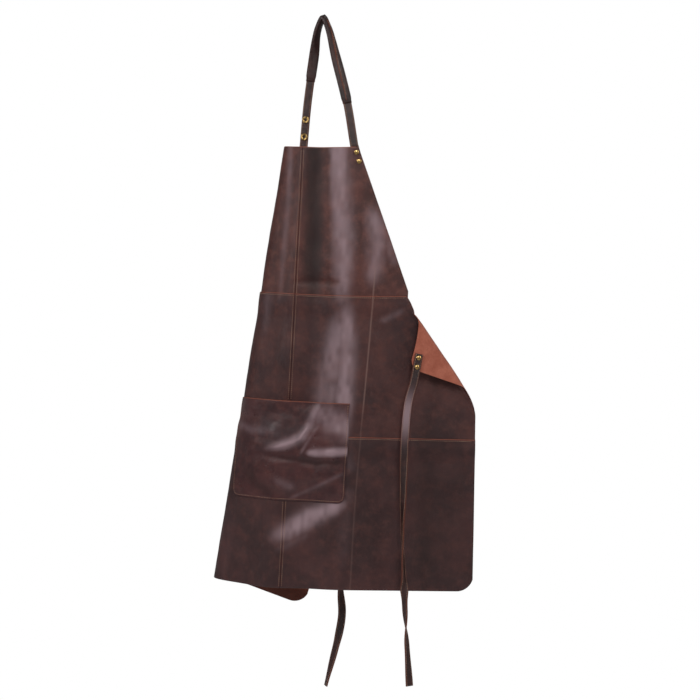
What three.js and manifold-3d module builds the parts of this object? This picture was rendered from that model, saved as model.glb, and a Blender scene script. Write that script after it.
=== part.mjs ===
// Leather welding apron hanging by its neck loop: millimetres, x right, y away from the front, z up.
// The origin is the point of the neck loop that rests on a hook.
import * as THREE from 'three';
import { mergeVertices } from 'three/addons/utils/BufferGeometryUtils.js';
import Module from 'manifold-3d';

const wasm = await Module();
wasm.setup();

// ---- driving sizes ----
const LEATHER = 1.6;
const GAP = 0.35;
const LAP_LIFT = LEATHER + GAP;
const LAP = 12;
const LAP_TAPER = { from: 180, width: 18, kept: 0.1 };
const LENGTH = 800;
const HALF_WIDTH = 346;
const HEM_HALF_WIDTH = 358;
const BIB_TOP = { half: 96, centre: -2.5, side: -8 };
const BIB_CORNER = { a: 108, b: 8 };
const WAIST = { a: 211, b: 257 };
const WING_EDGE = 327;
const WING_RADIUS = 20;
const SIDE_CURVE = { from: 405, to: 475 };
const HIP_SEAM = 521;
const HEM_RADIUS = 30;
const SEAM_SAG = 7;
const HIP_RISE = 0.021;
const HEM_RISE = 0.02;
// Past the waist seam the armhole drops in a step and then eases out to the wing's tip.
const ARMHOLE = { from: 202, step: 24, drop: 28, ease: 90, fall: 15 };
const CENTRE_GAP = 0.3;
const NARROWEST = 3;
const POCKET = {
  half: 110, top: 458, bottom: 640, radius: 14, bulge: 13, sideSlope: 60, footSlope: 70, seam: 25, climb: 20,
};
const STRAP = { width: 15, thick: 2.4, neckSteps: 64, tieSteps: 60 };
const SLEEVE = { width: 18.5, thick: 8.4, slack: 3, right: -154, left: -111, sides: 10, squareness: 0.55 };
const RIVET = { head: 4.6, post: 1.5, pitch: 17, rise: 2.6, back: 1.4 };
const SNAP = { ring: 6.4, bore: 2.3, height: 2.2, stud: 1.4, neck: 3, cap: 1.8, pitch: 30 };
const BEND_GAP = 1.5;
const EDGE_MARGIN = 12;
const END_MARGIN = { tie: 7, fixed: 9, snapped: 11 };
const TIE_MARGIN = { right: 12, left: 28 };
const HOLE = { depth: 16, sides: 10, clearance: 0.3 };
const TURNED_SIDES = { rivet: 12, snap: 12, stud: 10 };
const PLAY = 0.15;
const SPARE_SOCKETS = [-180, -210];

// ---- how the flat pattern is draped ----
// Pattern coordinates: a across from the centre seam, b down from the top of the bib, h outwards.
// The sheet is a general cone: its rulings fan out from one point above the bib.
const FAN = { a: 24, b: -512, left: -26, right: 24, step: 0.25 };
const BENDS = [
  { centre: 2.7, width: 4.5, turn: -36 },
  { centre: 1.0, width: 4.0, turn: 38 },
  { centre: -2.1, width: 2.6, turn: -44.5 },
  { centre: -8.6, width: 6.3, turn: -160 },
];
const HANG = { lean: 2.9, pitch: 1.1, yaw: 9.9, x: -36.2, z: -235 };
// The two upper side corners are folded over towards the outside along this line.
const WING_FOLD = { a: 221, b: 288, slope: 37.2, radius: 8, turn: { right: 172, left: 112 } };

const radians = THREE.MathUtils.degToRad;
const vector = (x, y, z) => new THREE.Vector3(x, y, z);
const smooth = (t) => THREE.MathUtils.smoothstep(t, 0, 1);
const mix = THREE.MathUtils.lerp;

function turnAt(angle) {
  return BENDS.reduce((sum, bend) => sum + bend.turn * smooth((angle - bend.centre) / bend.width + 0.5), 0);
}

// One frame (ruling, tangent, normal) for every step of the fan, starting from its flat right end.
function rulingFrames() {
  const start = radians(FAN.right);
  let frame = {
    ruling: vector(Math.sin(start), Math.cos(start), 0),
    tangent: vector(Math.cos(start), -Math.sin(start), 0),
    normal: vector(0, 0, 1),
  };
  const frames = [frame];
  const count = Math.round((FAN.right - FAN.left) / FAN.step);
  for (let i = 0; i < count; i += 1) {
    const angle = FAN.right - i * FAN.step;
    const bend = radians(turnAt(angle) - turnAt(angle - FAN.step));
    const spin = frame.normal.clone().multiplyScalar(radians(FAN.step)).addScaledVector(frame.ruling, bend);
    const size = spin.length();
    const axis = spin.divideScalar(size);
    frame = {
      ruling: frame.ruling.clone().applyAxisAngle(axis, size),
      tangent: frame.tangent.clone().applyAxisAngle(axis, size),
      normal: frame.normal.clone().applyAxisAngle(axis, size),
    };
    frames.push(frame);
  }
  return frames;
}

const FRAMES = rulingFrames();

function onCone(a, b, h) {
  const da = a - FAN.a;
  const db = b - FAN.b;
  const angle = THREE.MathUtils.radToDeg(Math.atan2(da, db));
  const step = THREE.MathUtils.clamp((FAN.right - angle) / FAN.step, 0, FRAMES.length - 1.001);
  const index = Math.floor(step);
  const near = FRAMES[index];
  const far = FRAMES[index + 1];
  const ruling = near.ruling.clone().lerp(far.ruling, step - index).normalize();
  const normal = near.normal.clone().lerp(far.normal, step - index).normalize();
  return vector(FAN.a, FAN.b, 0).addScaledVector(ruling, Math.hypot(da, db)).addScaledVector(normal, h);
}

// Cone coordinates to the hanging pose, before it is moved under the hook.
const HANG_TURN = new THREE.Matrix4()
  .makeRotationZ(radians(HANG.yaw))
  .multiply(new THREE.Matrix4().makeRotationX(radians(HANG.pitch)))
  .multiply(new THREE.Matrix4().makeRotationY(radians(HANG.lean)))
  .multiply(new THREE.Matrix4().makeBasis(vector(1, 0, 0), vector(0, 0, -1), vector(0, -1, 0)));

// The fold of a side corner: where a pattern point goes, and which way its outer face looks.
function foldWing(a, b) {
  const side = Math.sign(a) || 1;
  const lineAngle = radians(WING_FOLD.slope);
  const normalA = Math.cos(lineAngle);
  const normalB = -Math.sin(lineAngle);
  const radius = WING_FOLD.radius;
  const [fromA, fromB] = [Math.abs(a) - WING_FOLD.a, b - WING_FOLD.b];
  const aboveFold = Math.min(0, fromB * normalA - fromA * normalB);
  const reach = fromA * normalA + fromB * normalB + radius + 2 * aboveFold;
  if (reach <= 0) return { a, b, h: 0, na: 0, nb: 0, nh: 1 };
  const full = radians(side > 0 ? WING_FOLD.turn.right : WING_FOLD.turn.left);
  const turn = Math.min(reach / radius, full);
  const beyond = reach - radius * turn;
  const shift = radius * Math.sin(turn) + beyond * Math.cos(turn) - reach;
  return {
    a: side * (Math.abs(a) + shift * normalA),
    b: b + shift * normalB,
    h: radius * (1 - Math.cos(turn)) + beyond * Math.sin(turn),
    na: -side * Math.sin(turn) * normalA,
    nb: -Math.sin(turn) * normalB,
    nh: Math.cos(turn),
  };
}

function draped(a, b, h) {
  const f = foldWing(a, b);
  return onCone(f.a + h * f.na, f.b + h * f.nb, f.h + h * f.nh).applyMatrix4(HANG_TURN);
}

const TOP_CENTRE = draped(0, 0, 0);
let depthShift = 0;

function place(a, b, h) {
  return draped(a, b, h).sub(TOP_CENTRE).add(vector(HANG.x, depthShift, HANG.z));
}

// A seat on the sheet for a strap or a fastener: position, outward normal, and the two in-plane
// directions; lean is the slant of the strap as seen from the front, in degrees.
function seat(a, b, height, lean) {
  const origin = place(a, b, height);
  const normal = place(a, b, height + 1).sub(origin).normalize();
  const down = vector(Math.sin(radians(lean)), 0, -Math.cos(radians(lean)));
  down.addScaledVector(normal, -down.dot(normal)).normalize();
  const across = normal.clone().cross(down).normalize();
  return { origin, normal, down, across };
}

// ---- building solids ----
function volumeOf(positions, index) {
  let sum = 0;
  const corner = [vector(0, 0, 0), vector(0, 0, 0), vector(0, 0, 0)];
  for (let i = 0; i < index.length; i += 3) {
    corner.forEach((c, k) => c.fromArray(positions, 3 * index[i + k]));
    sum += corner[0].dot(corner[1].clone().cross(corner[2]));
  }
  return sum / 6;
}

function closedSolid(points, faces) {
  const positions = points.flatMap((p) => [p.x, p.y, p.z]);
  let index = faces.flat();
  if (volumeOf(positions, index) < 0) {
    index = faces.flatMap(([i, j, k]) => [i, k, j]);
  }
  const geometry = new THREE.BufferGeometry();
  geometry.setAttribute('position', new THREE.Float32BufferAttribute(positions, 3));
  geometry.setIndex(index);
  return geometry;
}

// A solid lofted through rings of points; every ring has the same number of points.
function loft(rings) {
  const size = rings[0].length;
  const points = rings.flat();
  const faces = [];
  for (let r = 0; r + 1 < rings.length; r += 1) {
    for (let i = 0; i < size; i += 1) {
      const next = (i + 1) % size;
      const [p, q] = [r * size + i, r * size + next];
      faces.push([p, q, q + size], [p, q + size, p + size]);
    }
  }
  for (let i = 1; i + 1 < size; i += 1) {
    const last = (rings.length - 1) * size;
    faces.push([0, i + 1, i], [last, last + i, last + i + 1]);
  }
  return closedSolid(points, faces);
}

// A leather panel: every column is a list of pattern points, lift raises it over what it laps.
function panel(columns, lift) {
  const face = (height) => columns.flat().map(({ a, b }) => place(a, b, lift(a, b) + height));
  const points = [...face(0), ...face(LEATHER)];
  const count = points.length / 2;
  const rows = columns[0].length;
  const at = (i, j) => i * rows + j;
  const faces = [];
  const wall = (p, q) => faces.push([p, q, q + count], [p, q + count, p + count]);
  for (let i = 0; i + 1 < columns.length; i += 1) {
    for (let j = 0; j + 1 < rows; j += 1) {
      const [p, q, r, s] = [at(i, j), at(i + 1, j), at(i + 1, j + 1), at(i, j + 1)];
      faces.push([p, r, q], [p, s, r]);
      faces.push([p + count, q + count, r + count], [p + count, r + count, s + count]);
    }
    wall(at(i, 0), at(i + 1, 0));
    wall(at(i + 1, rows - 1), at(i, rows - 1));
  }
  for (let j = 0; j + 1 < rows; j += 1) {
    wall(at(columns.length - 1, j), at(columns.length - 1, j + 1));
    wall(at(0, j + 1), at(0, j));
  }
  return closedSolid(points, faces);
}

// A turned piece; profile points are [radius, height] from pole to pole, axis points outwards.
function turned(profile, segments, origin, axis) {
  const lathe = new THREE.LatheGeometry(profile.map(([r, y]) => new THREE.Vector2(r, y)), segments);
  lathe.deleteAttribute('normal');
  lathe.deleteAttribute('uv');
  const geometry = mergeVertices(lathe, 1e-4);
  const turn = new THREE.Quaternion().setFromUnitVectors(vector(0, 1, 0), axis);
  geometry.applyQuaternion(turn).translate(origin.x, origin.y, origin.z);
  const kept = [];
  const index = geometry.index.array;
  for (let i = 0; i < index.length; i += 3) {
    const [p, q, r] = [index[i], index[i + 1], index[i + 2]];
    if (p !== q && q !== r && r !== p) kept.push([p, q, r]);
  }
  const position = geometry.attributes.position;
  const points = [];
  for (let i = 0; i < position.count; i += 1) {
    points.push(vector(0, 0, 0).fromBufferAttribute(position, i));
  }
  return closedSolid(points, kept);
}

function toManifold(geometry) {
  const mesh = new wasm.Mesh({
    numProp: 3,
    vertProperties: new Float32Array(geometry.attributes.position.array),
    triVerts: new Uint32Array(geometry.index.array),
  });
  return new wasm.Manifold(mesh);
}

// The geometry with a round hole along each given seat's normal.
function pierced(geometry, holes) {
  let body = toManifold(geometry);
  holes.forEach(({ origin, normal, radius }) => {
    const rod = new THREE.CylinderGeometry(radius, radius, HOLE.depth, HOLE.sides);
    rod.deleteAttribute('normal');
    rod.deleteAttribute('uv');
    const cutter = mergeVertices(rod, 1e-4);
    cutter.applyQuaternion(new THREE.Quaternion().setFromUnitVectors(vector(0, 1, 0), normal));
    cutter.translate(origin.x, origin.y, origin.z);
    body = body.subtract(toManifold(cutter));
  });
  const mesh = body.getMesh();
  const result = new THREE.BufferGeometry();
  result.setAttribute('position', new THREE.Float32BufferAttribute(mesh.vertProperties, 3));
  result.setIndex(Array.from(mesh.triVerts));
  return result;
}

// ---- pattern outlines ----
const waistSeam = (a) => WAIST.b + SEAM_SAG * (1 - (a / WAIST.a) ** 2);
const arcInto = (radius, depth) => radius - Math.sqrt(Math.max(0, radius ** 2 - Math.max(0, depth) ** 2));
const hipSeam = (a) => HIP_SEAM - HIP_RISE * Math.abs(a);
const LAP_STOPS = [0, LAP + 3, LAP + 18, LAP + 35];
const LAP_END = LAP_STOPS[3];
const lapLift = (past) => LAP_LIFT * (1 - smooth((past - LAP_STOPS[1]) / (LAP_END - LAP_STOPS[1])));

function bibTop(across) {
  const { half, centre, side } = BIB_TOP;
  if (across <= half) return mix(centre, side, (across / half) ** 2);
  if (across <= BIB_CORNER.a) return mix(side, BIB_CORNER.b, (across - half) / (BIB_CORNER.a - half));
  return mix(BIB_CORNER.b, WAIST.b, (across - BIB_CORNER.a) / (WAIST.a - BIB_CORNER.a));
}

function middleTop(across) {
  const { from, step, drop, ease, fall } = ARMHOLE;
  const left = 1 - THREE.MathUtils.clamp((across - from - step / 2) / ease, 0, 1);
  const armhole = drop * smooth((across - from) / step) + fall * (1 - left ** 2);
  const tip = arcInto(WING_RADIUS, across - WING_EDGE + WING_RADIUS);
  return waistSeam(Math.min(across, WAIST.a)) + armhole + tip;
}

// The wing is narrower; below it the side edge swings out, then flares gently down to the hem.
function sideEdge(b) {
  const flare = Math.max(0, b - SIDE_CURVE.to) / (LENGTH - SIDE_CURVE.to);
  return mix(WING_EDGE, HALF_WIDTH, smooth((b - SIDE_CURVE.from) / (SIDE_CURVE.to - SIDE_CURVE.from)))
    + (HEM_HALF_WIDTH - HALF_WIDTH) * flare;
}

function hem(across) {
  return LENGTH - HEM_RISE * across - arcInto(HEM_RADIUS, across - HEM_HALF_WIDTH + HEM_RADIUS);
}

// The value where a falling function crosses nought.
function crossing(low, high, height) {
  let [from, to] = [low, high];
  for (let i = 0; i < 40; i += 1) {
    const middle = (from + to) / 2;
    if (height(middle) > 0) from = middle;
    else to = middle;
  }
  return from;
}

// Columns follow the rulings wherever the sheet is bent, so that stacked layers stay parallel.
const BENT_RULINGS = {
  left: [-2.2, -2.9, -3.6, -4.4, -5.2, -5.8, -6.4, -7, -7.6, -8.2, -8.8, -9.4, -10, -10.6, -11.2, -11.8],
  right: [-1, -0.3, 0.4, 1.1, 1.9, 2.7, 3.5, 4.3, 5.1],
};

function onRuling(angle, outline) {
  let a = FAN.a;
  for (let i = 0; i < 8; i += 1) a = FAN.a + (outline(Math.abs(a)) - FAN.b) * Math.tan(radians(angle));
  return a;
}

// Columns of the flat parts: distances from the centre seam, on the panel's top and on its bottom.
const BIB_COLUMNS = { left: [[90, 146], [100, 157]], right: [[80, 112], [100, 142]] };
const BIB_TIP_COLUMNS = [[108, 166], [130, 174], [155, 181], [178, 188], [192, 195], [201, 202], [207, 207]];
const WING_COLUMNS = {
  left: [[146, 205], [160, 240], [172, 285], [182, HALF_WIDTH]],
  right: [[110, 150], [135, 200], [162, 270], [182, HALF_WIDTH]],
};
const HEM_COLUMNS = {
  left: [[200, 255], [235, 280], [275, 303]],
  right: [[150, 170], [200, 220], [255, 275]],
};
const HEM_CORNER_COLUMNS = [
  [305, 327], [320, 340], [332, 349], [340, 355], [sideEdge(HIP_SEAM), HEM_HALF_WIDTH],
];
const BIB_ROWS = 5;
const SKIRT_ROWS = 7;
const POCKET_ROWS = 9;

// Distances past the corner fold's line: round the bend, then over the folded part.
const FOLD_LEAD = 5;
const FOLD_COLUMNS = 10;
const PAST_FOLD = [28, 40, 50, 57, 62];

// Shares of the way in from the pocket's edge, where it starts to belly out.
const POCKET_SHARES = { left: [0, 0.06, 0.14, 0.3, 0.55, 0.78], right: [0.6, 0.25, 0.1, 0] };
const POCKET_RULING = -1.3;
const POCKET_LAST_RULING = -5.8;

const pick = (columns, side) => (side < 0 ? columns.left : columns.right);

// Pairs of distances from the centre seam, on the panel's top and on its bottom.
function spread(side, top, bottom, flat) {
  const ends = (angle) => [top, bottom].map((outline) => side * onRuling(angle, outline));
  const pairs = pick(BENT_RULINGS, side).map(ends);
  return [[0, 0], ...pairs.filter((pair) => Math.min(...pair) > NARROWEST), ...flat];
}

// Points down one column; a lapped column has extra points where it comes down off the lap.
function columnOf(side, top, bottom, rows, lapped) {
  const reach = bottom.b - top.b;
  const stops = lapped && reach > 2 * LAP_END ? LAP_STOPS.map((past) => past / reach) : [0];
  const start = stops[stops.length - 1];
  const rest = rows + 1 - stops.length;
  for (let i = 1; i <= rest; i += 1) stops.push(start + (1 - start) * i / rest);
  return stops.map((t) => ({
    a: side * Math.max(mix(top.a, bottom.a, t), CENTRE_GAP / 2),
    b: mix(top.b, bottom.b, t),
  }));
}

const underLap = (seam) => (across) => seam(across) + LAP;

// Under the waist seam the bib's lap narrows towards the side, where the two edges meet.
function bibPanel(side) {
  const { from, width, kept } = LAP_TAPER;
  const foot = (across) => middleTop(across) + LAP * mix(1, kept, smooth((across - from) / width));
  const flat = [...pick(BIB_COLUMNS, side), ...BIB_TIP_COLUMNS];
  return panel(spread(side, bibTop, foot, flat).map(([top, bottom]) => columnOf(
    side,
    { a: top, b: bibTop(top) },
    { a: bottom, b: foot(bottom) },
    BIB_ROWS,
    false,
  )), () => 0);
}

// The wing's columns swing round until they run along the corner fold, then follow it.
function middlePanel(side) {
  const foot = underLap(hipSeam);
  const pairs = spread(side, waistSeam, foot, pick(WING_COLUMNS, side));
  const columns = pairs.map(([top, bottom]) => columnOf(
    side,
    { a: top, b: waistSeam(top) },
    { a: bottom, b: foot(bottom) },
    SKIRT_ROWS,
    true,
  ));
  const slope = radians(WING_FOLD.slope);
  const offset = (a, b) => (a - WING_FOLD.a) * Math.cos(slope) - (b - WING_FOLD.b) * Math.sin(slope);
  const { radius } = WING_FOLD;
  const bendLength = radius * radians(WING_FOLD.turn.right);
  const steps = FOLD_COLUMNS - 1;
  const bent = Array.from({ length: FOLD_COLUMNS }, (_, i) => -radius + bendLength * i / steps);
  [-radius - FOLD_LEAD, ...bent, ...PAST_FOLD].forEach((reach) => {
    const low = crossing(WAIST.b, HIP_SEAM, (b) => offset(sideEdge(b), b) - reach);
    const bottom = { a: sideEdge(low), b: low };
    const along = (s) => ({ a: bottom.a - s * Math.sin(slope), b: bottom.b - s * Math.cos(slope) });
    const length = crossing(0, 400, (s) => along(s).b - middleTop(along(s).a));
    columns.push(columnOf(side, along(length), bottom, SKIRT_ROWS, true));
  });
  return panel(columns, (a, b) => lapLift(b - waistSeam(a)));
}

function lowerPanel(side) {
  const pairs = spread(side, hipSeam, hem, [...pick(HEM_COLUMNS, side), ...HEM_CORNER_COLUMNS]);
  return panel(pairs.map(([top, bottom]) => columnOf(
    side,
    { a: top, b: hipSeam(top) },
    { a: bottom, b: hem(bottom) },
    SKIRT_ROWS,
    true,
  )), (a, b) => lapLift(b - hipSeam(a)));
}

// The pocket rises over the hip seam and bellies out from its stitched edges.
function pocketLift(a, b) {
  const past = b - hipSeam(a);
  const overSeam = smooth((past + POCKET.seam) / POCKET.climb) * lapLift(past);
  const inFromSide = smooth((POCKET.half - Math.abs(a)) / POCKET.sideSlope);
  const inFromFoot = smooth((POCKET.bottom - b) / POCKET.footSlope);
  return LAP_LIFT + overSeam + POCKET.bulge * inFromSide * inFromFoot;
}

function pocketPanel() {
  const { top: mouth, bottom: floor } = POCKET;
  const ends = (angle) => [mouth, floor].map((b) => FAN.a + (b - FAN.b) * Math.tan(radians(angle)));
  const inFront = BENT_RULINGS.left.filter((angle) => angle >= POCKET_LAST_RULING).reverse();
  const rulings = [...inFront, POCKET_RULING, ...BENT_RULINGS.right];
  const widest = POCKET.half - 2 * NARROWEST;
  const inner = rulings.map(ends).filter(([top, bottom]) => Math.max(top, bottom) < widest);
  const beside = (edge, next, shares) => shares.map((t) => next.map((a) => mix(edge, a, t)));
  const columns = [
    ...beside(-POCKET.half, inner[0], POCKET_SHARES.left),
    ...inner,
    ...beside(POCKET.half, inner[inner.length - 1], POCKET_SHARES.right),
  ];
  return panel(columns.map(([top, bottom]) => {
    const cut = arcInto(POCKET.radius, Math.abs(bottom) - POCKET.half + POCKET.radius);
    return Array.from({ length: POCKET_ROWS + 1 }, (_, j) => ({
      a: mix(top, bottom, j / POCKET_ROWS),
      b: mix(POCKET.top, POCKET.bottom - cut, j / POCKET_ROWS),
    }));
  }), pocketLift);
}

// ---- straps ----
// A flat strap along stations of position, width direction and facing direction.
function ribbon(stations, width = STRAP.width, thick = STRAP.thick) {
  return loft(stations.map(({ point, across, facing }) => [[-1, -1], [1, -1], [1, 1], [-1, 1]].map(
    ([w, t]) => point.clone()
      .addScaledVector(across, w * width / 2)
      .addScaledVector(facing, t * thick / 2),
  )));
}

// Stations along a smooth curve; the width direction is blended between its given keys.
function stationsAlong(points, widths, count) {
  const curve = new THREE.CatmullRomCurve3(points, false, 'centripetal');
  const stations = [];
  for (let i = 0; i <= count; i += 1) {
    const t = i / count;
    const point = curve.getPointAt(t);
    const tangent = curve.getTangentAt(t);
    const turn = t * (widths.length - 1);
    const key = Math.min(Math.floor(turn), widths.length - 2);
    const across = widths[key].clone().lerp(widths[key + 1], smooth(turn - key));
    across.addScaledVector(tangent, -across.dot(tangent)).normalize();
    stations.push({ point, across, facing: tangent.clone().cross(across).normalize() });
  }
  return stations;
}

// The flat end of a strap lying on its seat, from the bend above it to past the second fastener.
const alongSeat = (spot, distance) => spot.origin.clone().addScaledVector(spot.down, distance);

function strapEnd(spot, from, to) {
  const stations = [from, to].map((distance) => ({
    point: alongSeat(spot, distance),
    across: spot.across,
    facing: spot.normal,
  }));
  return ribbon(stations);
}

// ---- fasteners ----
function rivet(origin, axis, grip) {
  const half = grip / 2;
  const { head, post, rise, back } = RIVET;
  const profile = [
    [0, -half - back],
    [head - 1, -half - back * 0.7],
    [head, -half],
    [post, -half],
    [post, half],
    [head, half],
    [head * 0.9, half + rise * 0.5],
    [head * 0.6, half + rise * 0.85],
    [0, half + rise],
  ];
  return turned(profile, TURNED_SIDES.rivet, origin, axis);
}

// The half of a snap on the strap: a cap on one side, and a ring with a blind bore on the other.
function snapSocket(origin, axis) {
  const half = STRAP.thick / 2 + PLAY;
  const { ring, bore, height, neck, cap } = SNAP;
  const profile = [
    [0, -half - cap],
    [ring * 0.7, -half - cap * 0.8],
    [ring - 0.2, -half],
    [neck, -half],
    [neck, half],
    [ring, half],
    [ring, half + height * 0.6],
    [ring * 0.7, half + height],
    [bore + 0.8, half + height],
    [bore, half + height * 0.7],
    [bore, half - 1.6],
    [0, half - 1.6],
  ];
  return turned(profile, TURNED_SIDES.snap, origin, axis);
}

// The other half on the bib: a flat cap inside, a post through the leather and a stud outside.
function snapStud(origin, axis) {
  const { stud } = SNAP;
  const profile = [
    [0, -1.5],
    [5, -1.2],
    [5.4, -PLAY],
    [RIVET.post, -PLAY],
    [RIVET.post, LEATHER + PLAY],
    [stud * 0.8, LEATHER + 0.6],
    [stud, LEATHER + 1.6],
    [stud * 0.5, LEATHER + 2.2],
    [0, LEATHER + 2.3],
  ];
  return turned(profile, TURNED_SIDES.stud, origin, axis);
}

// ---- seats of the straps ----
const INNER = -(GAP + STRAP.thick / 2);
const SNAPPED = LEATHER + GAP + SNAP.height + STRAP.thick / 2;
const FIRST_FASTENER = { fixed: 98, snapped: -90, b: 2 };
const TIE_FASTENER = { a: 304, b: 311 };
// How far each strap slants from plumb where it is fastened, in degrees.
const SLANT = { fixed: 17, snapped: -7, tie: -13 };

function seats() {
  return {
    fixed: seat(FIRST_FASTENER.fixed, FIRST_FASTENER.b, INNER, SLANT.fixed),
    snapped: seat(FIRST_FASTENER.snapped, FIRST_FASTENER.b, SNAPPED, SLANT.snapped),
    right: seat(TIE_FASTENER.a, TIE_FASTENER.b, INNER, SLANT.tie),
    left: seat(-TIE_FASTENER.a, TIE_FASTENER.b, INNER, SLANT.tie),
  };
}

// The loop's apex must stand over the origin: shift the whole sheet in depth until it does.
const trial = seats();
const trialEnds = [trial.fixed, trial.snapped].map((spot) => alongSeat(spot, -EDGE_MARGIN));
const overHook = (0 - trialEnds[0].x) / (trialEnds[1].x - trialEnds[0].x);
depthShift = -mix(trialEnds[0].y, trialEnds[1].y, overHook);

const SEATS = seats();
const BEND = {
  fixed: alongSeat(SEATS.fixed, -EDGE_MARGIN),
  snapped: alongSeat(SEATS.snapped, -EDGE_MARGIN),
  right: alongSeat(SEATS.right, RIVET.pitch + TIE_MARGIN.right),
  left: alongSeat(SEATS.left, RIVET.pitch + TIE_MARGIN.left),
};

// ---- neck loop ----
// Points the two legs of the loop pass through, seen from the front: x and height.
const LOOP = {
  right: [[44, -153], [23.5, -69], [9.5, -14]],
  left: [[-9.5, -14], [-17.8, -69], [-29, -150]],
};

function loopPoint(x, z) {
  const t = (x - BEND.fixed.x) / (BEND.snapped.x - BEND.fixed.x);
  return vector(x, mix(BEND.fixed.y, BEND.snapped.y, t), z);
}

function neckPath() {
  const start = BEND.fixed.clone().addScaledVector(SEATS.fixed.down, -BEND_GAP);
  const end = BEND.snapped.clone().addScaledVector(SEATS.snapped.down, -BEND_GAP);
  const crown = SLEEVE.thick / 2;
  const right = LOOP.right.map(([x, z]) => loopPoint(x, z));
  const left = LOOP.left.map(([x, z]) => loopPoint(x, z));
  return [start, ...right, loopPoint(0, crown), ...left, end];
}

const toTheRight = (direction) => (direction.x < 0 ? direction.clone().negate() : direction.clone());
const alongHook = toTheRight(BEND.snapped.clone().sub(BEND.fixed).setZ(0).normalize().cross(vector(0, 0, 1)));
const fixedWidth = toTheRight(SEATS.fixed.across);
const snappedWidth = toTheRight(SEATS.snapped.across);
const NECK_WIDTHS = [fixedWidth, fixedWidth, alongHook, snappedWidth, snappedWidth];
const NECK = stationsAlong(neckPath(), NECK_WIDTHS, STRAP.neckSteps);
const LOOP_COUNT = NECK.length - 1;

const nearestStation = (z) => {
  const half = NECK.slice(LOOP_COUNT / 2);
  return half.reduce((best, s) => (Math.abs(s.point.z - z) < Math.abs(best.point.z - z) ? s : best));
};

// The sleeve is a flattened tube round the strap.
function sleeve() {
  const from = NECK.findIndex((s) => s.point.z > SLEEVE.right);
  const last = LOOP_COUNT - [...NECK].reverse().findIndex((s) => s.point.z > SLEEVE.left);
  const ring = (station, width, thick) => Array.from({ length: SLEEVE.sides }, (_, i) => {
    const turn = 2 * Math.PI * (i + 0.5) / SLEEVE.sides;
    const round = (value) => Math.sign(value) * Math.abs(value) ** SLEEVE.squareness;
    return station.point.clone()
      .addScaledVector(station.across, round(Math.cos(turn)) * width / 2)
      .addScaledVector(station.facing, round(Math.sin(turn)) * thick / 2);
  });
  const covered = NECK.slice(from, last + 1);
  const rings = covered.map((s) => ring(s, SLEEVE.width, SLEEVE.thick));
  const bores = covered.map((s) => ring(s, STRAP.width + STRAP.thick, STRAP.thick + SLEEVE.slack));
  return tube(rings, bores);
}

function tube(rings, bores) {
  const size = rings[0].length;
  const points = [...rings.flat(), ...bores.flat()];
  const inner = rings.length * size;
  const faces = [];
  const quad = (p, q, r, s) => faces.push([p, q, r], [p, r, s]);
  for (let i = 0; i < size; i += 1) {
    const next = (i + 1) % size;
    for (let k = 0; k + 1 < rings.length; k += 1) {
      const base = k * size;
      quad(base + i, base + next, base + size + next, base + size + i);
      quad(inner + base + next, inner + base + i, inner + base + size + i, inner + base + size + next);
    }
    const end = (rings.length - 1) * size;
    quad(next, i, inner + i, inner + next);
    quad(end + i, end + next, inner + end + next, inner + end + i);
  }
  return closedSolid(points, faces);
}

// ---- ties ----
// Offsets of a hanging tie from its bend: x, depth and drop; and how far it has turned on the way down.
const RIGHT_TIE = [
  [-13, 0, -52], [-19.5, -2, -117], [-22, -3, -200], [-23.5, -1, -290],
  [-20.5, 0, -390], [-18.5, 3, -442], [-11, 2, -567],
];
const LEFT_TIE = [[-2, 4, -60], [-5, 5, -160], [-1, 2, -270], [6, -2, -388], [8, -3, -434], [-22, 0, -563]];
const RIGHT_TURNS = [0, -5, -15, -55, -90, -128, -252, -320, -345];
const LEFT_TURNS = [0, 0, -10, -15, -20, -30, -80, -140, -170];
const TIE_LEAD = 14;

function tieStations(spot, bend, offsets, turns) {
  const start = bend.clone().addScaledVector(spot.down, BEND_GAP);
  const lead = bend.clone().addScaledVector(spot.down, TIE_LEAD);
  const points = [start, lead, ...offsets.map(([x, y, z]) => bend.clone().add(vector(x, y, z)))];
  const outward = toTheRight(spot.across);
  const widths = turns.map((turn) => outward.clone().applyAxisAngle(vector(0, 0, 1), radians(turn)));
  return stationsAlong(points, widths, STRAP.tieSteps);
}

// ---- the assembly ----
const group = new THREE.Group();

function add(name, geometry, colour, roughness, metalness = 0) {
  const material = new THREE.MeshStandardMaterial({ color: colour, roughness, metalness });
  const mesh = new THREE.Mesh(geometry, material);
  mesh.name = name;
  group.add(mesh);
}

const addLeather = (name, geometry) => add(name, geometry, 0x4a2b22, 0.5);
const addBrass = (name, geometry) => add(name, geometry, 0xb08d4a, 0.3, 1);

const holeAt = (spot, distance, radius) => ({
  origin: alongSeat(spot, distance),
  normal: spot.normal,
  radius: radius + HOLE.clearance,
});
const rivetHoles = (spot) => [0, RIVET.pitch].map((distance) => holeAt(spot, distance, RIVET.post));

function panels() {
  const studHoles = [0, SNAP.pitch].map((distance) => holeAt(SEATS.snapped, distance, RIVET.post));
  addLeather('bib_panel_left', pierced(bibPanel(-1), studHoles));
  addLeather('bib_panel_right', pierced(bibPanel(1), rivetHoles(SEATS.fixed)));
  addLeather('middle_panel_left', pierced(middlePanel(-1), rivetHoles(SEATS.left)));
  addLeather('middle_panel_right', pierced(middlePanel(1), rivetHoles(SEATS.right)));
  addLeather('lower_panel_left', lowerPanel(-1));
  addLeather('lower_panel_right', lowerPanel(1));
  addLeather('front_pocket', pocketPanel());
}

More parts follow.
